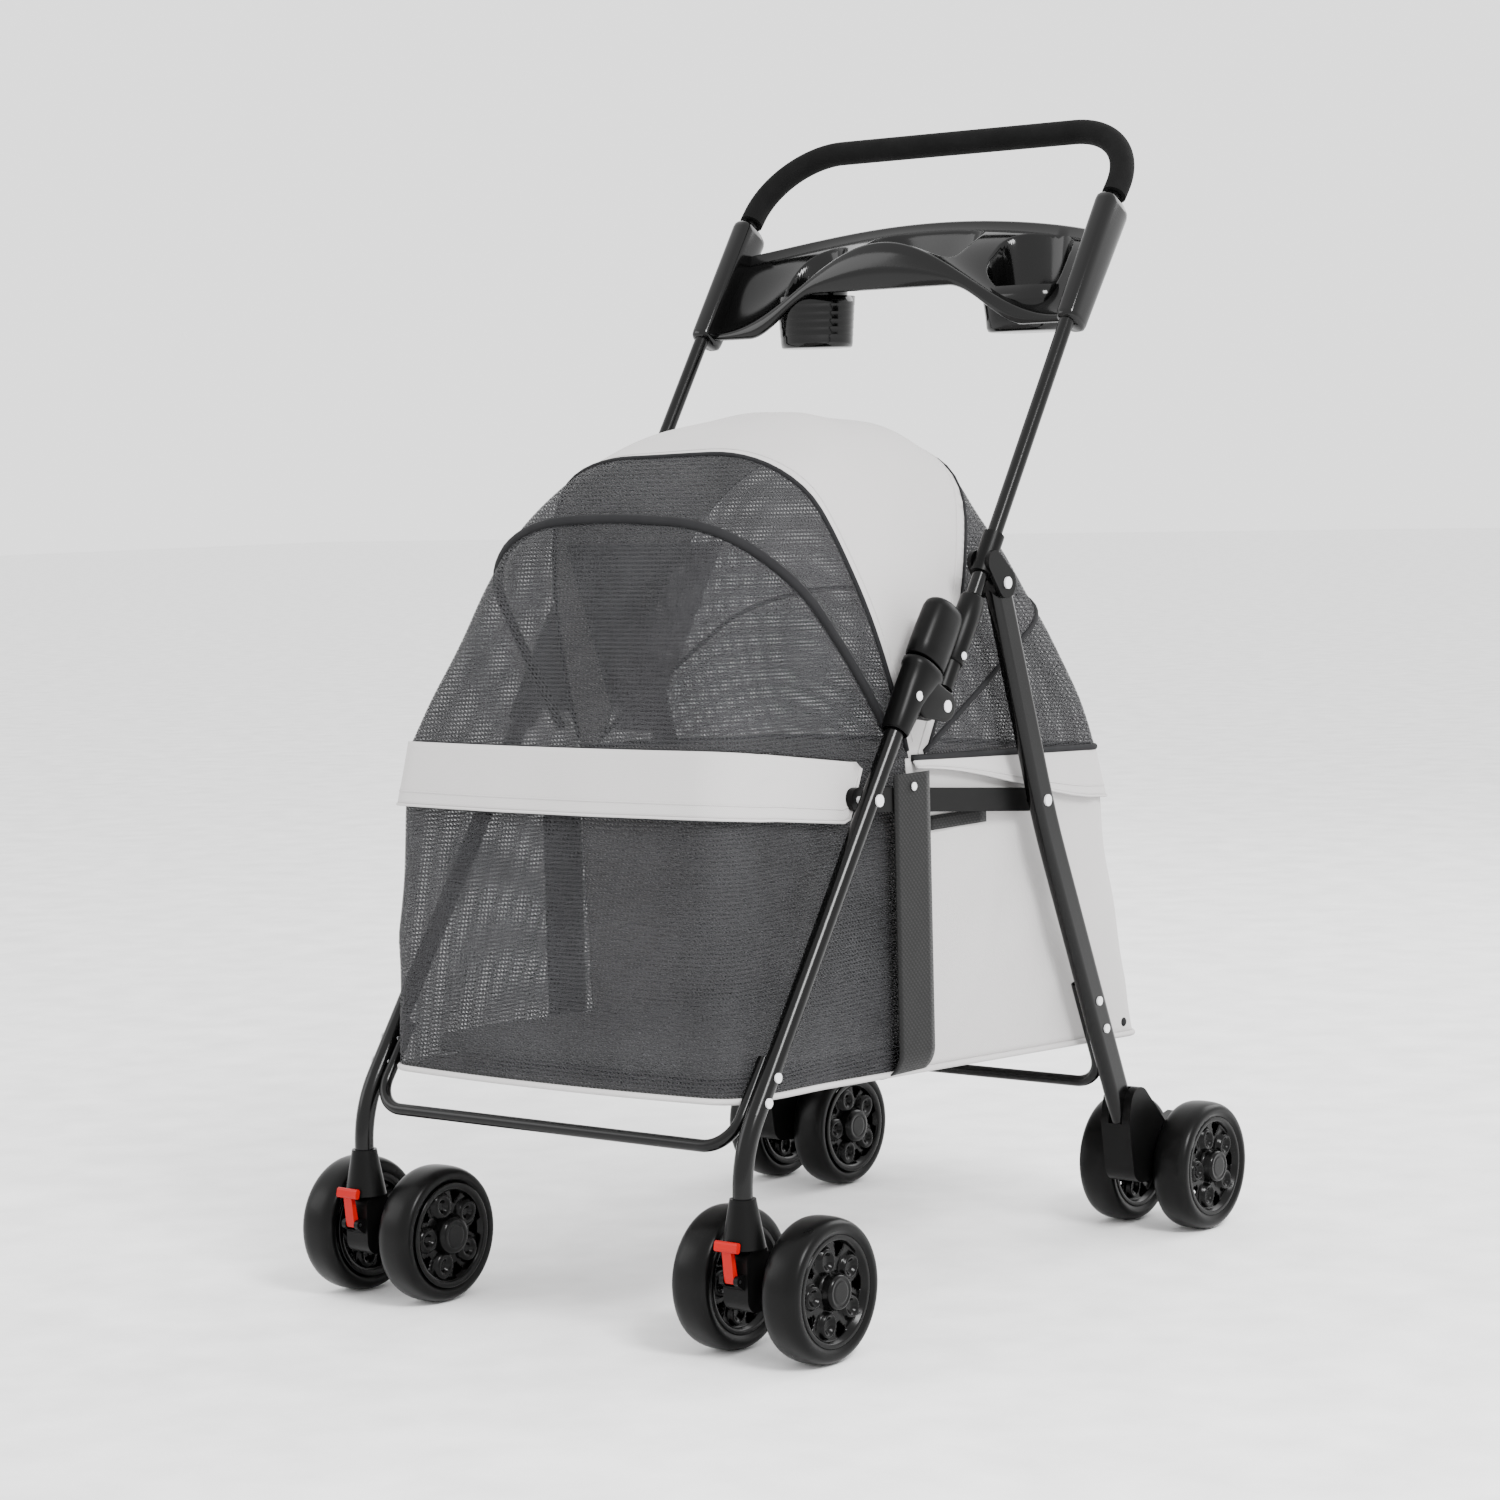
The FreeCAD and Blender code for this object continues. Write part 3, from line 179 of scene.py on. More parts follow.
def threads(tree, coordinates, pitch, direction):
    """Stripes of one thread family, 0 in the gap and 1 on the thread."""
    node = tree.nodes.new("ShaderNodeTexWave")
    node.bands_direction = direction
    # one band of the wave texture is pi / 10 of a unit long at a scale of 1
    node.inputs["Scale"].default_value = math.pi / 10 / pitch
    node.inputs["Distortion"].default_value = 0.25
    node.inputs["Detail Scale"].default_value = 2.0
    tree.links.new(coordinates, node.inputs["Vector"])
    return node.outputs["Fac"]


def combine(tree, first, second, operation):
    node = tree.nodes.new("ShaderNodeMath")
    node.operation = operation
    tree.links.new(first, node.inputs[0])
    tree.links.new(second, node.inputs[1])
    return node.outputs["Value"]


CREASE_DEPTH = 0.009


def fabric_material(name, colour, pitch, relief, roughness=0.9):
    """Plain woven cloth: threads both ways, soft mottling and sheen."""
    material, tree, shader, coordinates = new_material(name)
    upright = threads(tree, coordinates, pitch, "Z")
    slanting = threads(tree, coordinates, pitch, "DIAGONAL")
    weave = combine(tree, upright, slanting, "MULTIPLY")
    mottle = combine(tree, noise(tree, coordinates, 9), weave, "ADD")
    darker = tuple(c * 0.93 for c in colour)
    tree.links.new(shade(tree, spread(tree, mottle, 0, 0.7), darker, colour), shader.inputs["Base Color"])
    shader.inputs["Roughness"].default_value = roughness
    shader.inputs["Sheen Weight"].default_value = 0.08
    shader.inputs["Specular IOR Level"].default_value = 0.15
    creases = spread(tree, noise(tree, coordinates, 6, 3), 0, CREASE_DEPTH / relief)
    bump(tree, shader, combine(tree, weave, creases, "ADD"), relief, 0.4)
    return material


def mesh_material(name, colour, rib_pitch, open_alpha, thread_alpha):
    """Knitted mesh: level ribs crossed by finer threads, see-through between them."""
    material, tree, shader, coordinates = new_material(name)
    ribs = threads(tree, coordinates, rib_pitch, "Z")
    fine = threads(tree, coordinates, rib_pitch * 0.6, "DIAGONAL")
    cover = combine(tree, ribs, fine, "MAXIMUM")
    tree.links.new(spread(tree, cover, open_alpha, thread_alpha), shader.inputs["Alpha"])
    darker = tuple(c * 0.7 for c in colour)
    tree.links.new(shade(tree, noise(tree, coordinates, 20), darker, colour), shader.inputs["Base Color"])
    shader.inputs["Roughness"].default_value = 0.7
    shader.inputs["Specular IOR Level"].default_value = 0.14
    bump(tree, shader, ribs, 0.0006, 0.5)
    return material


MATERIALS = {
    "tube_black": hard_material("tube_black", (0.0015, 0.0015, 0.0015), 0.19, 900, 0.00002, shine=0.2),
    "rail_black": hard_material("rail_black", (0.002, 0.002, 0.002), 0.35, 900, 0.00004, shine=0.09),
    "foam_black": hard_material("foam_black", (0.003, 0.003, 0.003), 0.85, 1400, 0.0006, shine=0.1),
    "plastic_black": hard_material("plastic_black", (0.002, 0.002, 0.002), 0.34, 1600, 0.00008, shine=0.1),
    "tray_black": hard_material("tray_black", (0.0015, 0.0015, 0.0015), 0.12, 500, 0.00003, shine=0.24),
    "hub_black": hard_material("hub_black", (0.0015, 0.0015, 0.0015), 0.2, 500, 0.00004, shine=0.13),
    "tyre_black": hard_material("tyre_black", (0.002, 0.002, 0.002), 0.3, 900, 0.00006, shine=0.11),
    "lever_red": hard_material("lever_red", (0.34, 0.002, 0.002), 0.35, 500, 0.00004, shine=0.15),
    "rivet_white": hard_material("rivet_white", (0.7, 0.7, 0.71), 0.28, 500, 0.00003),
    "axle_steel": hard_material("axle_steel", (0.3, 0.3, 0.31), 0.3, 700, 0.00003, metallic=1.0),
    "hoop_black": hard_material("hoop_black", (0.012, 0.012, 0.013), 0.8, 1200, 0.0003, shine=0.15),
    "fabric_light": fabric_material("fabric_light", (0.5, 0.487, 0.483), 0.0012, 0.0003),
    "board_grey": fabric_material("board_grey", (0.36, 0.36, 0.365), 0.002, 0.0005),
    "webbing_black": fabric_material("webbing_black", (0.006, 0.006, 0.006), 0.0024, 0.0007, 0.7),
    "mesh_grey": mesh_material("mesh_grey", (0.034, 0.034, 0.036), 0.0034, 0.2, 0.82),
}
slot_of = {part["node"]: part["material_slot"] for part in frame["record"]["subparts"]}
for node, thing in frame["nodes"].items():
    if not thing.material_slots:
        thing.data.materials.append(None)
    for place in thing.material_slots:
        place.material = MATERIALS[slot_of[node]]

floor_mesh = bpy.data.meshes.new("floor")
floor_mesh.from_pydata([(-30, -30, 0), (30, -30, 0), (30, 30, 0), (-30, 30, 0)], [], [(0, 1, 2, 3)])
floor = bpy.data.objects.new("floor", floor_mesh)
bpy.context.scene.collection.objects.link(floor)
floor_mesh.materials.append(hard_material("floor_pale", (0.93, 0.93, 0.93), 0.95, 20, 0.000001, shine=0.1))

# ---------------------------------------------------------------- mesh helpers


def add_piece(name, shape, slot, body, *replaced):
    """Turn a finished bmesh into a smooth, painted piece and hang it on its body."""
    bmesh.ops.recalc_face_normals(shape, faces=shape.faces)
    mesh = bpy.data.meshes.new(name)
    shape.to_mesh(mesh)
    shape.free()
    for face in mesh.polygons:
        face.use_smooth = True
    mesh.materials.append(MATERIALS[slot])
    piece = bpy.data.objects.new(name, mesh)
    bpy.context.scene.collection.objects.link(piece)
    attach(piece, body)
    if replaced:
        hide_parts(*replaced)
    return piece


def thicken(shape, thickness):
    """Give an open sheet its thickness."""
    bmesh.ops.recalc_face_normals(shape, faces=shape.faces)
    bmesh.ops.solidify(shape, geom=list(shape.faces), thickness=thickness)


def grid_sheet(rows, wrap=False):
    """A bmesh of quads through rows of points."""
    shape = bmesh.new()
    verts = [[shape.verts.new(p) for p in row] for row in rows]
    for low, high in zip(verts, verts[1:]):
        count = len(low)
        for i in range(count if wrap else count - 1):
            j = (i + 1) % count
            shape.faces.new((low[i], low[j], high[j], high[i]))
    return shape


def cap_ends(shape, count):
    """Close the first and last of a tube's rings, each with count points."""
    shape.verts.ensure_lookup_table()
    shape.faces.new(list(shape.verts)[:count])
    shape.faces.new(list(shape.verts)[-count:])


def turns(count):
    """Evenly spaced angles round a full turn."""
    return [2 * math.pi * k / count for k in range(count)]


def tube_shape(points, radius, sides=10):
    """A round cord or binding through a list of points, with closed ends."""
    rings = []
    for i, point in enumerate(points):
        ahead = points[min(i + 1, len(points) - 1)] - points[max(i - 1, 0)]
        ahead.normalize()
        first = ahead.cross(Vector((0.13, 0.21, 0.97))).normalized()
        second = ahead.cross(first)
        rings.append([
            point + (first * math.cos(a) + second * math.sin(a)) * radius
            for a in turns(sides)
        ])
    shape = grid_sheet(rings, wrap=True)
    cap_ends(shape, sides)
    return shape


def smooth(t):
    t = min(1.0, max(0.0, t))
    return t * t * (3 - 2 * t)


def ripple(x, y, z, size):
    """A small repeatable unevenness, as in hanging cloth."""
    broad = math.sin(31 * x + 17 * z) * math.sin(23 * y + 11 * z + 1.3)
    fine = 0.5 * math.sin(67 * y - 41 * z + 29 * x)
    return 1.7 * size * (broad + fine)


def folds(piece):
    """Give a fabric piece a mesh of its own."""
    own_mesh(piece)
    return piece


def cloth_piece(name, shape, slot, *replaced):
    return folds(add_piece(name, shape, slot, "chassis", *replaced))


# ---------------------------------------------------------------- cabin

SIDE_STEPS, END_STEPS, CORNER_STEPS = 60, 34, 10
CABIN_HALF = 178
MIDDLE_Y = 260
# the floor is FLOOR_Z high at the front axle and falls to the rear
FLOOR_Z, FLOOR_FALL = 200, 0.0454


def plan_points(half, front, rear, corner):
    """A rounded rectangle in plan, always with the same number of points, from front left."""
    arcs = []
    for x_side, y_side, start in ((-1, -1, 180), (1, -1, 270), (1, 1, 0), (-1, 1, 90)):
        centre_x = x_side * (half - corner)
        centre_y = rear - corner if y_side > 0 else front + corner
        angles = [math.radians(start + 90 * k / CORNER_STEPS) for k in range(CORNER_STEPS + 1)]
        arcs.append([(centre_x + corner * math.cos(a), centre_y + corner * math.sin(a)) for a in angles])
    outline = []
    for i, arc in enumerate(arcs):
        outline += arc
        x0, y0 = arc[-1]
        x1, y1 = arcs[(i + 1) % 4][0]
        steps = SIDE_STEPS if i % 2 else END_STEPS
        for share in (k / steps for k in range(1, steps)):
            outline.append((x0 + share * (x1 - x0), y0 + share * (y1 - y0)))
    return outline


def rim_height(y):
    """The cabin's upper edge: it falls from the front to the rear."""
    return 473 - 0.13 * y if y < 146 else 454 - 0.041 * (y - 146)


def cabin_point(low, high, share, outward=0.0):
    """A point of the cabin wall between matching points of its lower and upper outlines."""
    x = low[0] + share * (high[0] - low[0])
    y = low[1] + share * (high[1] - low[1])
    bottom = FLOOR_Z - FLOOR_FALL * low[1]
    z = bottom + share * (rim_height(high[1]) - bottom)
    frontness = smooth((40 - y) / 50)
    y -= frontness * (8 * math.sin(math.pi * share) + 12 * (1 - (x / CABIN_HALF) ** 2))
    beside = 30 < y < 500
    middle = Vector((x, y)) - Vector((0, MIDDLE_Y))
    away = Vector((
        math.copysign(1, x) if beside and abs(x) > 150 else middle.x / 300,
        0 if beside else middle.y / 300,
    ))
    if away.length:
        away.normalize()
    x += math.copysign(5 * (1 - share) * smooth((110 - y) / 80), x)
    wave = -abs(ripple(x / 1000, y / 1000, z / 1000, 1.6)) * math.sin(math.pi * min(1, share * 1.02))
    shift = outward + wave
    return at(x + away.x * shift, y + away.y * shift, z)


LOWER = plan_points(CABIN_HALF, -24, 588, 24)
UPPER = plan_points(CABIN_HALF, -8, 536, 32)
COLUMNS = len(LOWER)
WALL_ROWS, FLAP_ROWS = 36, 14


def wall_columns(wanted):
    """Neighbouring columns of the wall whose depth passes a test, in order round the cabin."""
    chosen = [wanted(LOWER[i][1]) for i in range(COLUMNS)]
    start = next(i for i in range(COLUMNS) if chosen[i] and not chosen[i - 1])
    run = []
    for k in range(COLUMNS):
        i = (start + k) % COLUMNS
        if not chosen[i]:
            break
        run.append(i)
    return run


def wall_piece(name, columns, thickness, slot, replaced):
    """A panel of the cabin wall, from the floor to the rim."""
    steps = range(WALL_ROWS + 1)
    shape = grid_sheet([[cabin_point(LOWER[i], UPPER[i], r / WALL_ROWS) for i in columns] for r in steps])
    thicken(shape, thickness)
    cloth_piece(name, shape, slot, replaced)


front_columns = wall_columns(lambda y: y < 240)
rear_columns = wall_columns(lambda y: y > 234)
flap_columns = wall_columns(lambda y: y < 152)
tail_columns = wall_columns(lambda y: y > 244)
wall_piece("cabin_front_net", front_columns, 0.0008, "mesh_grey", "cabin_front_mesh")
wall_piece("cabin_rear_cloth", rear_columns, 0.0014, "fabric_light", "cabin_shell")


def flap_low(place):
    """The front flap's lower edge, rounded up at both ends."""
    end = min(place, 1 - place)
    return 0.81 + 0.17 * (1 - smooth(end / 0.035)) ** 2


def tail_low(place):
    """The rear flap's lower edge: it falls from the straps to the rear."""
    end = min(place, 1 - place)
    return 0.97 - 0.14 * smooth(end / 0.3)


def flap_piece(name, columns, low, near, far, *replaced):
    """A flap that stands off the wall: near at its sewn edge, far at its free edge, hemmed and stitched."""
    rows = []
    for share in (r / FLAP_ROWS for r in range(FLAP_ROWS + 1)):
        row = []
        for k, i in enumerate(columns):
            edge = low(k / (len(columns) - 1))
            height = edge + (1.0 - edge) * share
            row.append(cabin_point(LOWER[i], UPPER[i], height, far + (near - far) * share))
        rows.append(row)
    shape = grid_sheet(rows)
    thicken(shape, 0.0014)
    cloth_piece(name, shape, "fabric_light", *replaced)
    for row, part, radius in ((0, "_hem", 0.0011), (3, "_stitching", 0.0007)):
        cloth_piece(name + part, tube_shape(rows[row], radius, 8), "fabric_light")


flap_piece("front_flap_cloth", flap_columns, flap_low, 2.6, 7.5, "cabin_flaps")
flap_piece("rear_flap_cloth", tail_columns, tail_low, 2.2, 6.5)

bottom_ring = [cabin_point(LOWER[i], UPPER[i], 0.0) for i in range(COLUMNS)]
base = bmesh.new()
base.faces.new([base.verts.new(p) for p in bottom_ring])
thicken(base, 0.0015)
cloth_piece("cabin_base_cloth", base, "fabric_light")
piping = tube_shape(bottom_ring + bottom_ring[:1], 0.0026, 10)
cloth_piece("base_piping", piping, "fabric_light")
rim = [cabin_point(LOWER[i], UPPER[i], 1.0, 1.0) for i in tail_columns]
cloth_piece("rear_rim_binding", tube_shape(rim, 0.003), "hoop_black")


def pad_point(u, v, top):
    """The floor pad: crowned on top, its edges drawn in between quilting lines."""
    x = u * 168
    y = 283 + v * 285
    edge = (1 - abs(u) ** 6) * (1 - abs(v) ** 8)
    floor_z = 213 - FLOOR_FALL * y
    thickness = 9 + 11 * max(0.0, edge) ** 0.5
    quilt = 2.2 * (abs(math.sin(math.pi * 3.5 * v)) ** 0.5 - 1) * edge
    z = floor_z + (thickness + quilt if top else 0.5)
    return at(x, y, z)


PAD_STEPS = 48
pad_rows = []
for top in (False, True):
    for r in range(PAD_STEPS + 1):
        v = -1 + 2 * (r if not top else PAD_STEPS - r) / PAD_STEPS
        corner = 1 - 0.28 * max(0.0, abs(v) - 0.8) ** 2 / 0.04 * 0.5
        pad_rows.append([pad_point((-1 + 2 * c / PAD_STEPS) * corner, v, top) for c in range(PAD_STEPS + 1)])
pad_shape = grid_sheet(pad_rows + pad_rows[:1])
bmesh.ops.remove_doubles(pad_shape, verts=pad_shape.verts, dist=0.00001)
bmesh.ops.holes_fill(pad_shape, edges=pad_shape.edges, sides=0)
pad = add_piece("floor_pad", pad_shape, "board_grey", "chassis", "floor_board")
folds(pad)

# ---------------------------------------------------------------- sling strap and trims

STRAP_FRONT, STRAP_REAR, STRAP_X = 190, 240, 191.1


def strap_path():
    """Down one side, round under the floor and up the other side."""
    points = [(STRAP_X, 440 - 6 * k) for k in range(38)]
    low, radius = 186.5, 24
    for k in range(13):
        angle = math.pi / 2 * k / 12
        points.append((STRAP_X - radius + radius * math.cos(angle), low + radius - radius * math.sin(angle)))
    half = points + [(STRAP_X - radius - 12 * k, low) for k in range(1, 14)]
    return half + [(-x, z) for x, z in reversed(half)]


strap_rows = [
    [at(x, STRAP_FRONT + (STRAP_REAR - STRAP_FRONT) * k / 8, z) for k in range(9)] for x, z in strap_path()
]
strap = grid_sheet(strap_rows)
thicken(strap, 0.0012)
cloth_piece("sling_webbing", strap, "webbing_black", "sling_strap")


DISC_SIDES = 24


def disc(name, centre, radius, height, slot, body, axis_sign):
    """A low dome facing along x, such as a snap or a cover plate."""
    profile = [
        (radius, 0), (radius, height * 0.45), (radius * 0.8, height * 0.85),
        (radius * 0.4, height), (0.0001, height),
    ]
    rings = []
    for r, h in profile:
        rings.append([
            centre + Vector((axis_sign * h, r * math.cos(a), r * math.sin(a)))
            for a in turns(DISC_SIDES)
        ])
    shape = grid_sheet(rings, wrap=True)
    cap_ends(shape, DISC_SIDES)
    return add_piece(name, shape, slot, body)


for sign, label in SIDES:
    snap = at(sign * 192.6, 215, 429)
    folds(disc("strap_snap_" + label, snap, 0.0036, 0.0016, "rivet_white", "chassis", sign))
    snap = at(sign * 177.6, 556, 186)
    folds(disc("panel_snap_" + label, snap, 0.004, 0.0018, "hoop_black", "chassis", sign))
    rivet = at(sign * 211.8, 263, 534)
    disc("slide_rivet_" + label, rivet, 0.0034, 0.0018, "rivet_white", "lock_sleeve_" + label, sign)
    keeper = grid_sheet([[at(sign * 179.2, 252 + 11 * k, z) for k in range(9)] for z in (388, 391, 396, 400)])
    thicken(keeper, 0.0016)
    cloth_piece("side_webbing_" + label, keeper, "webbing_black")

# ---------------------------------------------------------------- canopy

DOME = [
    # height, front, rear, half width, corner
    (458, -8, 540, 178, 34), (500, 6, 528, 177, 52), (550, 24, 506, 172, 74), (600, 42, 480, 162, 86),
    (650, 70, 450, 145, 86), (690, 118, 425, 125, 78), (715, 172, 398, 102, 64), (730, 215, 368, 76, 48),
    (738, 250, 335, 46, 28), (740, 276, 308, 16, 10),
]
DOME_STEPS = 8
dome_plans = [plan_points(half, front, rear, corner) for _, front, rear, half, corner in DOME]


def curve_value(a, b, c, d, t):
    """Catmull-Rom through b and c."""
    return 0.5 * (2 * b + (c - a) * t + (2 * a - 5 * b + 4 * c - d) * t * t + (3 * b - a - 3 * c + d) * t ** 3)


def dome_point(i, position):
    """The canopy at column i; position runs from 0 at the rim to 1 at the crown."""
    place = position * (len(DOME) - 1)
    k = min(int(place), len(DOME) - 2)
    t = place - k
    near = [max(0, k - 1), k, k + 1, min(len(DOME) - 1, k + 2)]
    x, y = (curve_value(*[dome_plans[n][i][axis] for n in near], t) for axis in (0, 1))
    z = curve_value(*[DOME[n][0] for n in near], t)
    low = (1 - position) ** 3
    z += (rim_height(y) - DOME[0][0]) * low
    y -= smooth((40 - y) / 50) * 12 * (1 - min(1, abs(x) / CABIN_HALF) ** 2) * low
    sag = ripple(x / 1000, y / 1000, z / 1000, 1.5) * (1 - low)
    return at(x, y, z + sag)


dome_rows = [
    [dome_point(i, r / ((len(DOME) - 1) * DOME_STEPS)) for i in range(COLUMNS)]
    for r in range((len(DOME) - 1) * DOME_STEPS + 1)
]
# each seam lies in a plane across the stroller: a side-view point and its lean (dy / dz)
COVER_FRONT = (226, 460, -0.32)
COVER_REAR = (259, 460, 0.576)
REAR_HOOP = (265, 462, 1.86)
# the zip's arch: depth and height of its feet and its top, and half its width
ZIP_FOOT, ZIP_TOP, ZIP_HALF = (202, 470), (76, 650), 180


def seam_side(point, seam):
    """Positive behind the seam, negative ahead of it, in metres."""
    y0, z0, lean = seam
    anchor = at(0, y0, z0)
    return (point.y - anchor.y) - lean * (point.z - anchor.z)


def seam_points(seam):
    """Where the seam's plane crosses the canopy, in order from one side to the other."""
    found = []
    for i in range(COLUMNS):
        for low, high in zip(dome_rows, dome_rows[1:]):
            a, b = seam_side(low[i], seam), seam_side(high[i], seam)
            if a * b < 0:
                found.append(low[i].lerp(high[i], a / (a - b)))
                break
    return sorted(found, key=lambda p: math.atan2(p.z - 0.3, p.x))


def arch_points(foot, apex, half):
    """Half an ellipse between both sides, pushed out from inside the canopy on to its cloth."""
    surface = grid_sheet(dome_rows, wrap=True)
    tree = BVHTree.FromBMesh(surface)
    centre = at(0, 250, 480)
    points = []
    for k in range(61):
        turn = math.pi * k / 60
        rise = math.sin(turn) ** 0.9
        y, z = (low + (high - low) * rise for low, high in zip(foot, apex))
        inner = at(half * math.cos(turn), y, z)
        hit = tree.ray_cast(centre, inner - centre)[0]
        if hit:
            points.append(hit)
    surface.free()
    return points


def canopy_piece(name, keep, thickness, slot, *replaced):
    """The part of the canopy on the wanted side of each seam."""
    shape = grid_sheet(dome_rows, wrap=True)
    shape.verts.ensure_lookup_table()
    shape.faces.new(list(shape.verts)[-COLUMNS:])
    for (y0, z0, lean), ahead in keep:
        normal = Vector((0, 1, -lean)) * (1 if ahead else -1)
        geometry = list(shape.verts) + list(shape.edges) + list(shape.faces)
        centre = at(0, y0, z0)
        bmesh.ops.bisect_plane(shape, geom=geometry, plane_co=centre, plane_no=normal, clear_outer=True)
    thicken(shape, thickness)
    return cloth_piece(name, shape, slot, *replaced)


canopy_piece("canopy_front_net", [(COVER_FRONT, True)], 0.0008, "mesh_grey", "canopy_front_mesh")
canopy_piece(
    "canopy_cloth", [(COVER_FRONT, False), (COVER_REAR, True)], 0.0016, "fabric_light", "canopy_cover",
)
canopy_piece("canopy_rear_net", [(COVER_REAR, False)], 0.0008, "mesh_grey", "canopy_rear_mesh")
for name, points, radius in (
    ("cover_front_binding", seam_points(COVER_FRONT), 0.0022),
    ("zip_binding", arch_points(ZIP_FOOT, ZIP_TOP, ZIP_HALF), 0.0045),
    ("cover_rear_binding", seam_points(COVER_REAR), 0.0018),
    ("rear_hoop_sleeve", seam_points(REAR_HOOP), 0.0024),
    ("cover_front_stitching", seam_points((COVER_FRONT[0] + 11, *COVER_FRONT[1:])), 0.0009),
    ("cover_rear_stitching", seam_points((COVER_REAR[0] - 13, *COVER_REAR[1:])), 0.0009),
):
    shape = tube_shape(points, radius)
    replaced = ("canopy_hoops",) if name == "zip_binding" else ()
    slot = "fabric_light" if name.endswith("stitching") else "hoop_black"
    cloth_piece(name, shape, slot, *replaced)


def curtain_point(u, v):
    """The gathered inner net: wide at the hoop and drawn together at the floor of the canopy."""
    centre = -10 - 15 * v
    spread_x = 78 * (1 - v) + 14 * v
    return at(centre + spread_x * u, 120 + 9 * math.sin(14 * u) * (1 - 0.4 * v), 634 - 158 * v)


curtain = grid_sheet([[curtain_point(-1 + 2 * c / 60, r / 30) for c in range(61)] for r in range(31)])
thicken(curtain, 0.0008)
cloth_piece("inner_net", curtain, "mesh_grey")

# ---------------------------------------------------------------- cup tray

TRAY_FRONT, TRAY_REAR = 452, 540
# centre x and y, half sizes, roundness, floor height
WELLS = ((-100, 490, 26.5, 26.5, 2, 808), (132, 496, 34, 28, 2.6, 813), (8, 497, 54, 33, 5, 868))


def bell(x):
    return math.cos(min(1.0, abs(x) / 188) * math.pi / 2) ** 2


def front_top(x):
    return 820 + 73 * bell(x)


def front_low(x):
    return 813 + 38 * (1 - smooth((abs(x) - 72) / 80))


def rear_top(x):
    return 914 - 15 * (x / 165) ** 2


def rear_line(x):
    return TRAY_REAR - 24 * (abs(x) / 190) ** 4


def deck_height(x, y):
    """The deck slopes up from the front wall to the rear wall, with its wells let in."""
    share = (y - TRAY_FRONT) / (rear_line(x) - TRAY_FRONT)
    z = front_top(x) - 1 + (rear_top(x) - 7 - front_top(x)) * smooth(share) ** 0.9
    for cx, cy, half_x, half_y, roundness, floor_z in WELLS:
        reach = (abs((x - cx) / half_x) ** roundness + abs((y - cy) / half_y) ** roundness) ** (1 / roundness)
        inside = 1 - smooth((reach - 0.88) / 0.24)
        z += (min(z, floor_z) - z) * inside
    return z


TRAY_HALF, TRAY_COLUMNS = 193, 300
X_STEPS = [TRAY_HALF * (2 * k / TRAY_COLUMNS - 1) for k in range(TRAY_COLUMNS + 1)]
DEPTH_STEPS = 96
tray_rows = [
    [at(x, TRAY_FRONT + 2, front_low(x)) for x in X_STEPS],
    [at(x, TRAY_FRONT - 0.5, front_low(x) + 1.5) for x in X_STEPS],
    [at(x, TRAY_FRONT - 1, (front_low(x) + front_top(x)) / 2) for x in X_STEPS],
    [at(x, TRAY_FRONT, front_top(x) - 1.2) for x in X_STEPS],
    [at(x, TRAY_FRONT + 1.6, front_top(x) + 0.4) for x in X_STEPS],
]
for k in range(DEPTH_STEPS):
    row = []
    for x in X_STEPS:
        y = TRAY_FRONT + 4 + k * (rear_line(x) - TRAY_FRONT - 9) / (DEPTH_STEPS - 1)
        row.append(at(x, y, deck_height(x, y)))
    tray_rows.append(row)
for inset, drop in ((3.2, 1.2), (1.5, 0), (0, 1.5), (0, 12), (0, 24)):
    tray_rows.append([at(x, rear_line(x) - inset, rear_top(x) - drop) for x in X_STEPS])
tray = grid_sheet(tray_rows)
thicken(tray, 0.0022)
add_piece("tray_deck", tray, "tray_black", "handle", "cup_tray")


CUP_SIDES = 72


def cup_outside(name, place, half_x, half_y, roundness, steps):
    """The outside of a cup below the deck, narrowing in rounded steps."""
    rings = []
    for z, scale in steps:
        ring = []
        for angle in turns(CUP_SIDES):
            cosine, sine = math.cos(angle), math.sin(angle)
            reach = (abs(cosine) ** roundness + abs(sine) ** roundness) ** (-1 / roundness)
            x = place[0] + half_x * scale * reach * cosine
            y = place[1] + half_y * scale * reach * sine
            ring.append(at(x, y, z))
        rings.append(ring)
    shape = grid_sheet(rings, wrap=True)
    shape.verts.ensure_lookup_table()
    shape.faces.new(list(shape.verts)[:CUP_SIDES])
    thicken(shape, 0.0016)
    return add_piece(name, shape, "tray_black", "handle")


left_steps = [(803, 0.86), (804, 0.9), (807, 0.915)]
for k in range(5):
    grown = 0.013 * k
    left_steps += [(z + 7 * k, scale + grown) for z, scale in ((808, 0.92), (813, 0.924), (814.2, 0.933))]
cup_outside("tray_cup_left", (-100, 489), 36.5, 36, 2, left_steps + [(850, 1.0)])
cup_outside(
    "tray_cup_right", (132, 495), 41.5, 36, 3,
    [(808, 0.8), (809, 0.86), (812, 0.89), (822, 0.91), (835, 0.95), (848, 0.97)],
)

SLEEVE_LENGTH, SLEEVE_SIDES = 0.130, 40


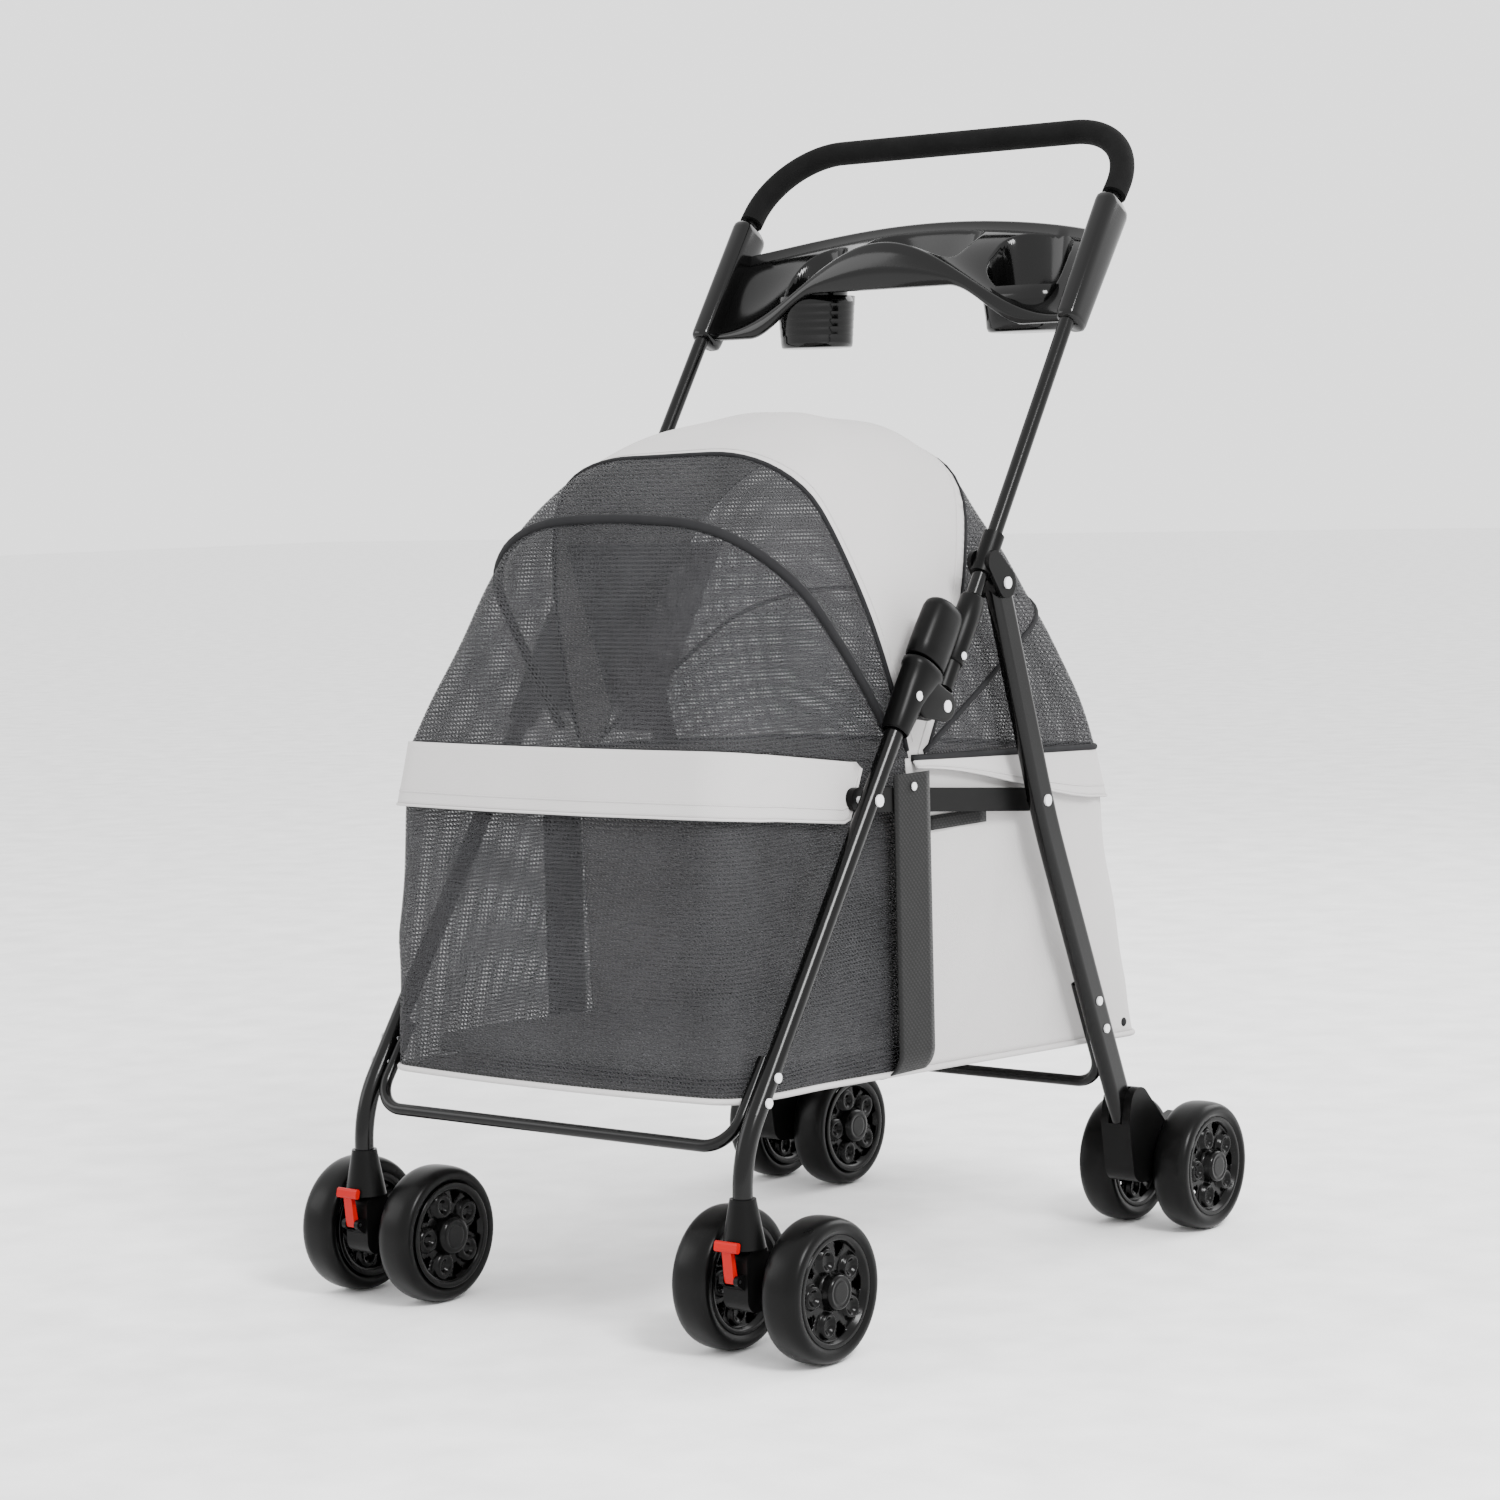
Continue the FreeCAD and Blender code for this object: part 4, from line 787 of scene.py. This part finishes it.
def tray_clamp(name, sign):
    """The tray's sleeve on a side tube, with the flange behind it."""
    along = Vector((0, math.cos(HANDLE_LEAN), math.sin(HANDLE_LEAN)))
    behind = Vector((0, math.sin(HANDLE_LEAN), -math.cos(HANDLE_LEAN)))
    foot = at(sign * TUBE_X, 446.5, 814)
    rings = []
    for share, scale in ((0, 0.82), (0.02, 0.96), (0.05, 1), (0.5, 1), (0.95, 1), (0.98, 0.96), (1, 0.82)):
        ring = []
        for a in turns(SLEEVE_SIDES):
            reach = math.cos(a)
            depth = (-10.5 if reach < 0 else 10.5 + 19 * (0.6 + share * 0.4)) * abs(reach) ** 0.8 * scale
            width = 10.2 * math.copysign(abs(math.sin(a)) ** 0.7, math.sin(a)) * scale
            middle = foot + along * SLEEVE_LENGTH * share
            ring.append(middle + behind * depth / 1000 + Vector((width / 1000, 0, 0)))
        rings.append(ring)
    shape = grid_sheet(rings, wrap=True)
    cap_ends(shape, SLEEVE_SIDES)
    return add_piece(name, shape, "tray_black", "handle")


for sign, label in SIDES:
    tray_clamp("tray_sleeve_" + label, sign)

# ---------------------------------------------------------------- lock joints

BARREL_SIDES = 48


def barrel(name, start, lean, stations, slot, body, *replaced, roundness=2.4):
    """A moulded shell along a tube; stations give distance, front and back reach and half width."""
    along = Vector((0, math.cos(lean), math.sin(lean)))
    behind = Vector((0, math.sin(lean), -math.cos(lean)))
    rings = []
    for distance, ahead, back_reach, half in stations:
        centre = start + (along * distance + behind * (back_reach - ahead) / 2) / 1000
        depth = (back_reach + ahead) / 2
        ring = []
        for a in turns(BARREL_SIDES):
            cosine, sine = math.cos(a), math.sin(a)
            reach = (abs(cosine) ** roundness + abs(sine) ** roundness) ** (-1 / roundness)
            sideways = Vector((half * reach * sine / 1000, 0, 0))
            ring.append(centre + behind * depth * reach * cosine / 1000 + sideways)
        rings.append(ring)
    shape = grid_sheet(rings, wrap=True)
    thicken(shape, 0.0012)
    return add_piece(name, shape, slot, body, *replaced)


EAR_CIRCLES = ((212, 502, 17), (236, 494, 12.5))
EAR_THICKNESS = 5.6


def ear(name, x):
    """A flat plate in the side view, drawn round both ear circles."""
    (y0, z0, r0), (y1, z1, r1) = EAR_CIRCLES
    heading = math.atan2(z1 - z0, y1 - y0)
    outline = []
    for y, z, radius, start in ((y1, z1, r1, heading - math.pi / 2), (y0, z0, r0, heading + math.pi / 2)):
        for k in range(19):
            angle = start + math.pi * k / 18
            outline.append((y + radius * math.cos(angle), z + radius * math.sin(angle)))
    middle_y, middle_z = (y0 + y1) / 2, (z0 + z1) / 2
    rings = []
    for offset, scale in ((-0.5, 0.9), (-0.42, 0.98), (-0.3, 1), (0.3, 1), (0.42, 0.98), (0.5, 0.9)):
        rings.append([
            at(
                x + offset * EAR_THICKNESS,
                middle_y + (y - middle_y) * scale,
                middle_z + (z - middle_z) * scale,
            )
            for y, z in outline
        ])
    shape = grid_sheet(rings, wrap=True)
    cap_ends(shape, len(outline))
    add_piece(name, shape, "plastic_black", "chassis")


for sign, label in SIDES:
    mark = at(sign * TUBE_X, 187.8, 493)
    barrel(
        "lock_base_shell_" + label, mark, LEG_LEAN,
        [(-20, 10.4, 10.4, 10.4), (-18, 11.2, 11.6, 11.2), (0, 12, 14, 12), (20, 13, 20, 12.6),
         (37, 13.4, 27, 13.2), (40, 14.8, 29, 14.4), (45, 14.8, 29, 14.4), (46.4, 13.6, 28, 13.2)],
        "plastic_black", "chassis", "lock_base_" + label,
    )
    ear("lock_base_ear_" + label, sign * 210.5)
    ear("lock_base_inner_ear_" + label, sign * 192.6)
    barrel(
        "lock_sleeve_shell_" + label, mark, LEG_LEAN,
        [(48.4, 13.2, 25, 12.4), (50, 14.6, 27, 13.6), (62, 15, 28, 14), (80, 14.6, 28, 14),
         (96, 14, 27.5, 13.8), (101, 12.5, 26.5, 12.8), (103.6, 10, 25, 11.4),
         (104.6, 6, 22, 8.5), (104.8, -4, 14, 2)],
        "plastic_black", "lock_sleeve_" + label, "lock_sleeve_" + label,
    )
    slide_foot = at(sign * TUBE_X, 244 + (528 - 506) / math.tan(HANDLE_LEAN), 528)
    barrel(
        "lock_slide_shell_" + label, slide_foot, HANDLE_LEAN,
        [(0, 9.6, 9.6, 9.6), (2, 10.6, 10.6, 10.6), (40, 11, 11, 11),
         (62, 10.6, 10.6, 10.6), (64, 9.4, 9.4, 9.4)],
        "plastic_black", "lock_sleeve_" + label, roundness=2,
    )

# ---------------------------------------------------------------- wheels


WHEEL_SIDES, HUB_SIDES = 72, 150


def revolve(centre, profile):
    """A closed ring of revolution about the x axis; the profile gives (x, radius) in millimetres."""
    rings = []
    for angle in turns(WHEEL_SIDES):
        rings.append([
            centre + Vector((x, r * math.cos(angle), r * math.sin(angle))) / 1000 for x, r in profile
        ])
    rings.append(rings[0])
    shape = grid_sheet(rings, wrap=True)
    bmesh.ops.remove_doubles(shape, verts=shape.verts, dist=0.000001)
    return shape


def tyre_profile(half, outer):
    """A rounded tread with a small step where the tyre meets its rim."""
    points = [(-half + 3, 43), (-half + 1.6, 45), (-half + 0.6, 47)]
    for k in range(17):
        angle = math.pi - math.pi * k / 16
        flat = math.copysign(abs(math.cos(angle)) ** 0.75, math.cos(angle))
        points.append((half * flat, 48 + (outer - 48) * abs(math.sin(angle)) ** 0.6))
    return points + [(half - 0.6, 47), (half - 1.6, 45), (half - 3, 43)]


AXLE_REACH = (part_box("rear_axles")[1][0] - sum(p[0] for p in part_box("tyre_rear_right_outer")) / 2) * 1000


def hub_height(radius, angle, capped):
    """How far the hub's face stands out, in millimetres, at a place on it."""
    cap_radius, cap_height = (14.5, AXLE_REACH + 0.8) if capped else (9.0, 14.0)
    height = 10.5
    height += (cap_height - height) * (1 - smooth((radius - cap_radius + 1.5) / 3.0))
    if capped:
        height -= 0.8 * (1 - smooth(abs(radius - cap_radius + 4.5) / 0.9))
    petal = 0.0
    for k in range(5):
        centre = 2 * math.pi * (k + 0.5) / 5
        u, w = radius * math.cos(angle - centre), radius * math.sin(angle - centre)
        reach = math.hypot((u - 26.5) / 11.5, w / 10)
        petal += 4.4 * (1 - smooth((reach - 0.8) / 0.24)) - 3.8 * (1 - smooth((reach - 0.32) / 0.4))
    height += petal * smooth((radius - cap_radius - 0.5) / 2)
    height += 5.4 * smooth((radius - 38.5) / 1.8)
    return height


def in_window(radius, angle):
    """The five openings between the petals, near the rim."""
    offset = (angle + math.pi / 5) % (2 * math.pi / 5) - math.pi / 5
    return 27 < radius < 38 and abs(offset) * radius < 6.8 * (radius - 24) / 13


def hub_face(centre, sign, capped):
    """One moulded face of a hub, with real openings."""
    radii = [0.4] + [1.08 * k for k in range(1, 42)]
    rows = []
    for radius in radii:
        row = []
        for angle in turns(HUB_SIDES):
            height = sign * hub_height(radius, angle, capped)
            row.append(centre + Vector((height, radius * math.cos(angle), radius * math.sin(angle))) / 1000)
        rows.append(row)
    shape = grid_sheet(rows, wrap=True)
    shape.faces.new(list(shape.verts)[:HUB_SIDES])
    gone = []
    for face in shape.faces:
        middle = (face.calc_center_median() - centre) * 1000
        if in_window(math.hypot(middle.y, middle.z), math.atan2(middle.z, middle.y)):
            gone.append(face)
    bmesh.ops.delete(shape, geom=gone, context="FACES")
    thicken(shape, 0.0022)
    return shape


for axle in ("front", "rear"):
    for side_sign, side in SIDES:
        for place in ("outer", "inner"):
            label = "%s_%s_%s" % (axle, side, place)
            low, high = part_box("tyre_" + label)
            centre = (Vector(low) + Vector(high)) / 2
            body = "wheel_" + label
            tread = revolve(centre, tyre_profile(WHEEL_WIDTH * 500, WHEEL_RADIUS * 1000))
            add_piece("tread_" + label, tread, "tyre_black", body, "tyre_" + label)
            for sign, face in ((1, "a"), (-1, "b")):
                replaced = ("hub_" + label,) if sign == 1 else ()
                capped = sign * (centre.x - side_sign * SIDE) > 0
                shape = hub_face(centre, sign, capped)
                add_piece("hub_face_%s_%s" % (label, face), shape, "hub_black", body, *replaced)
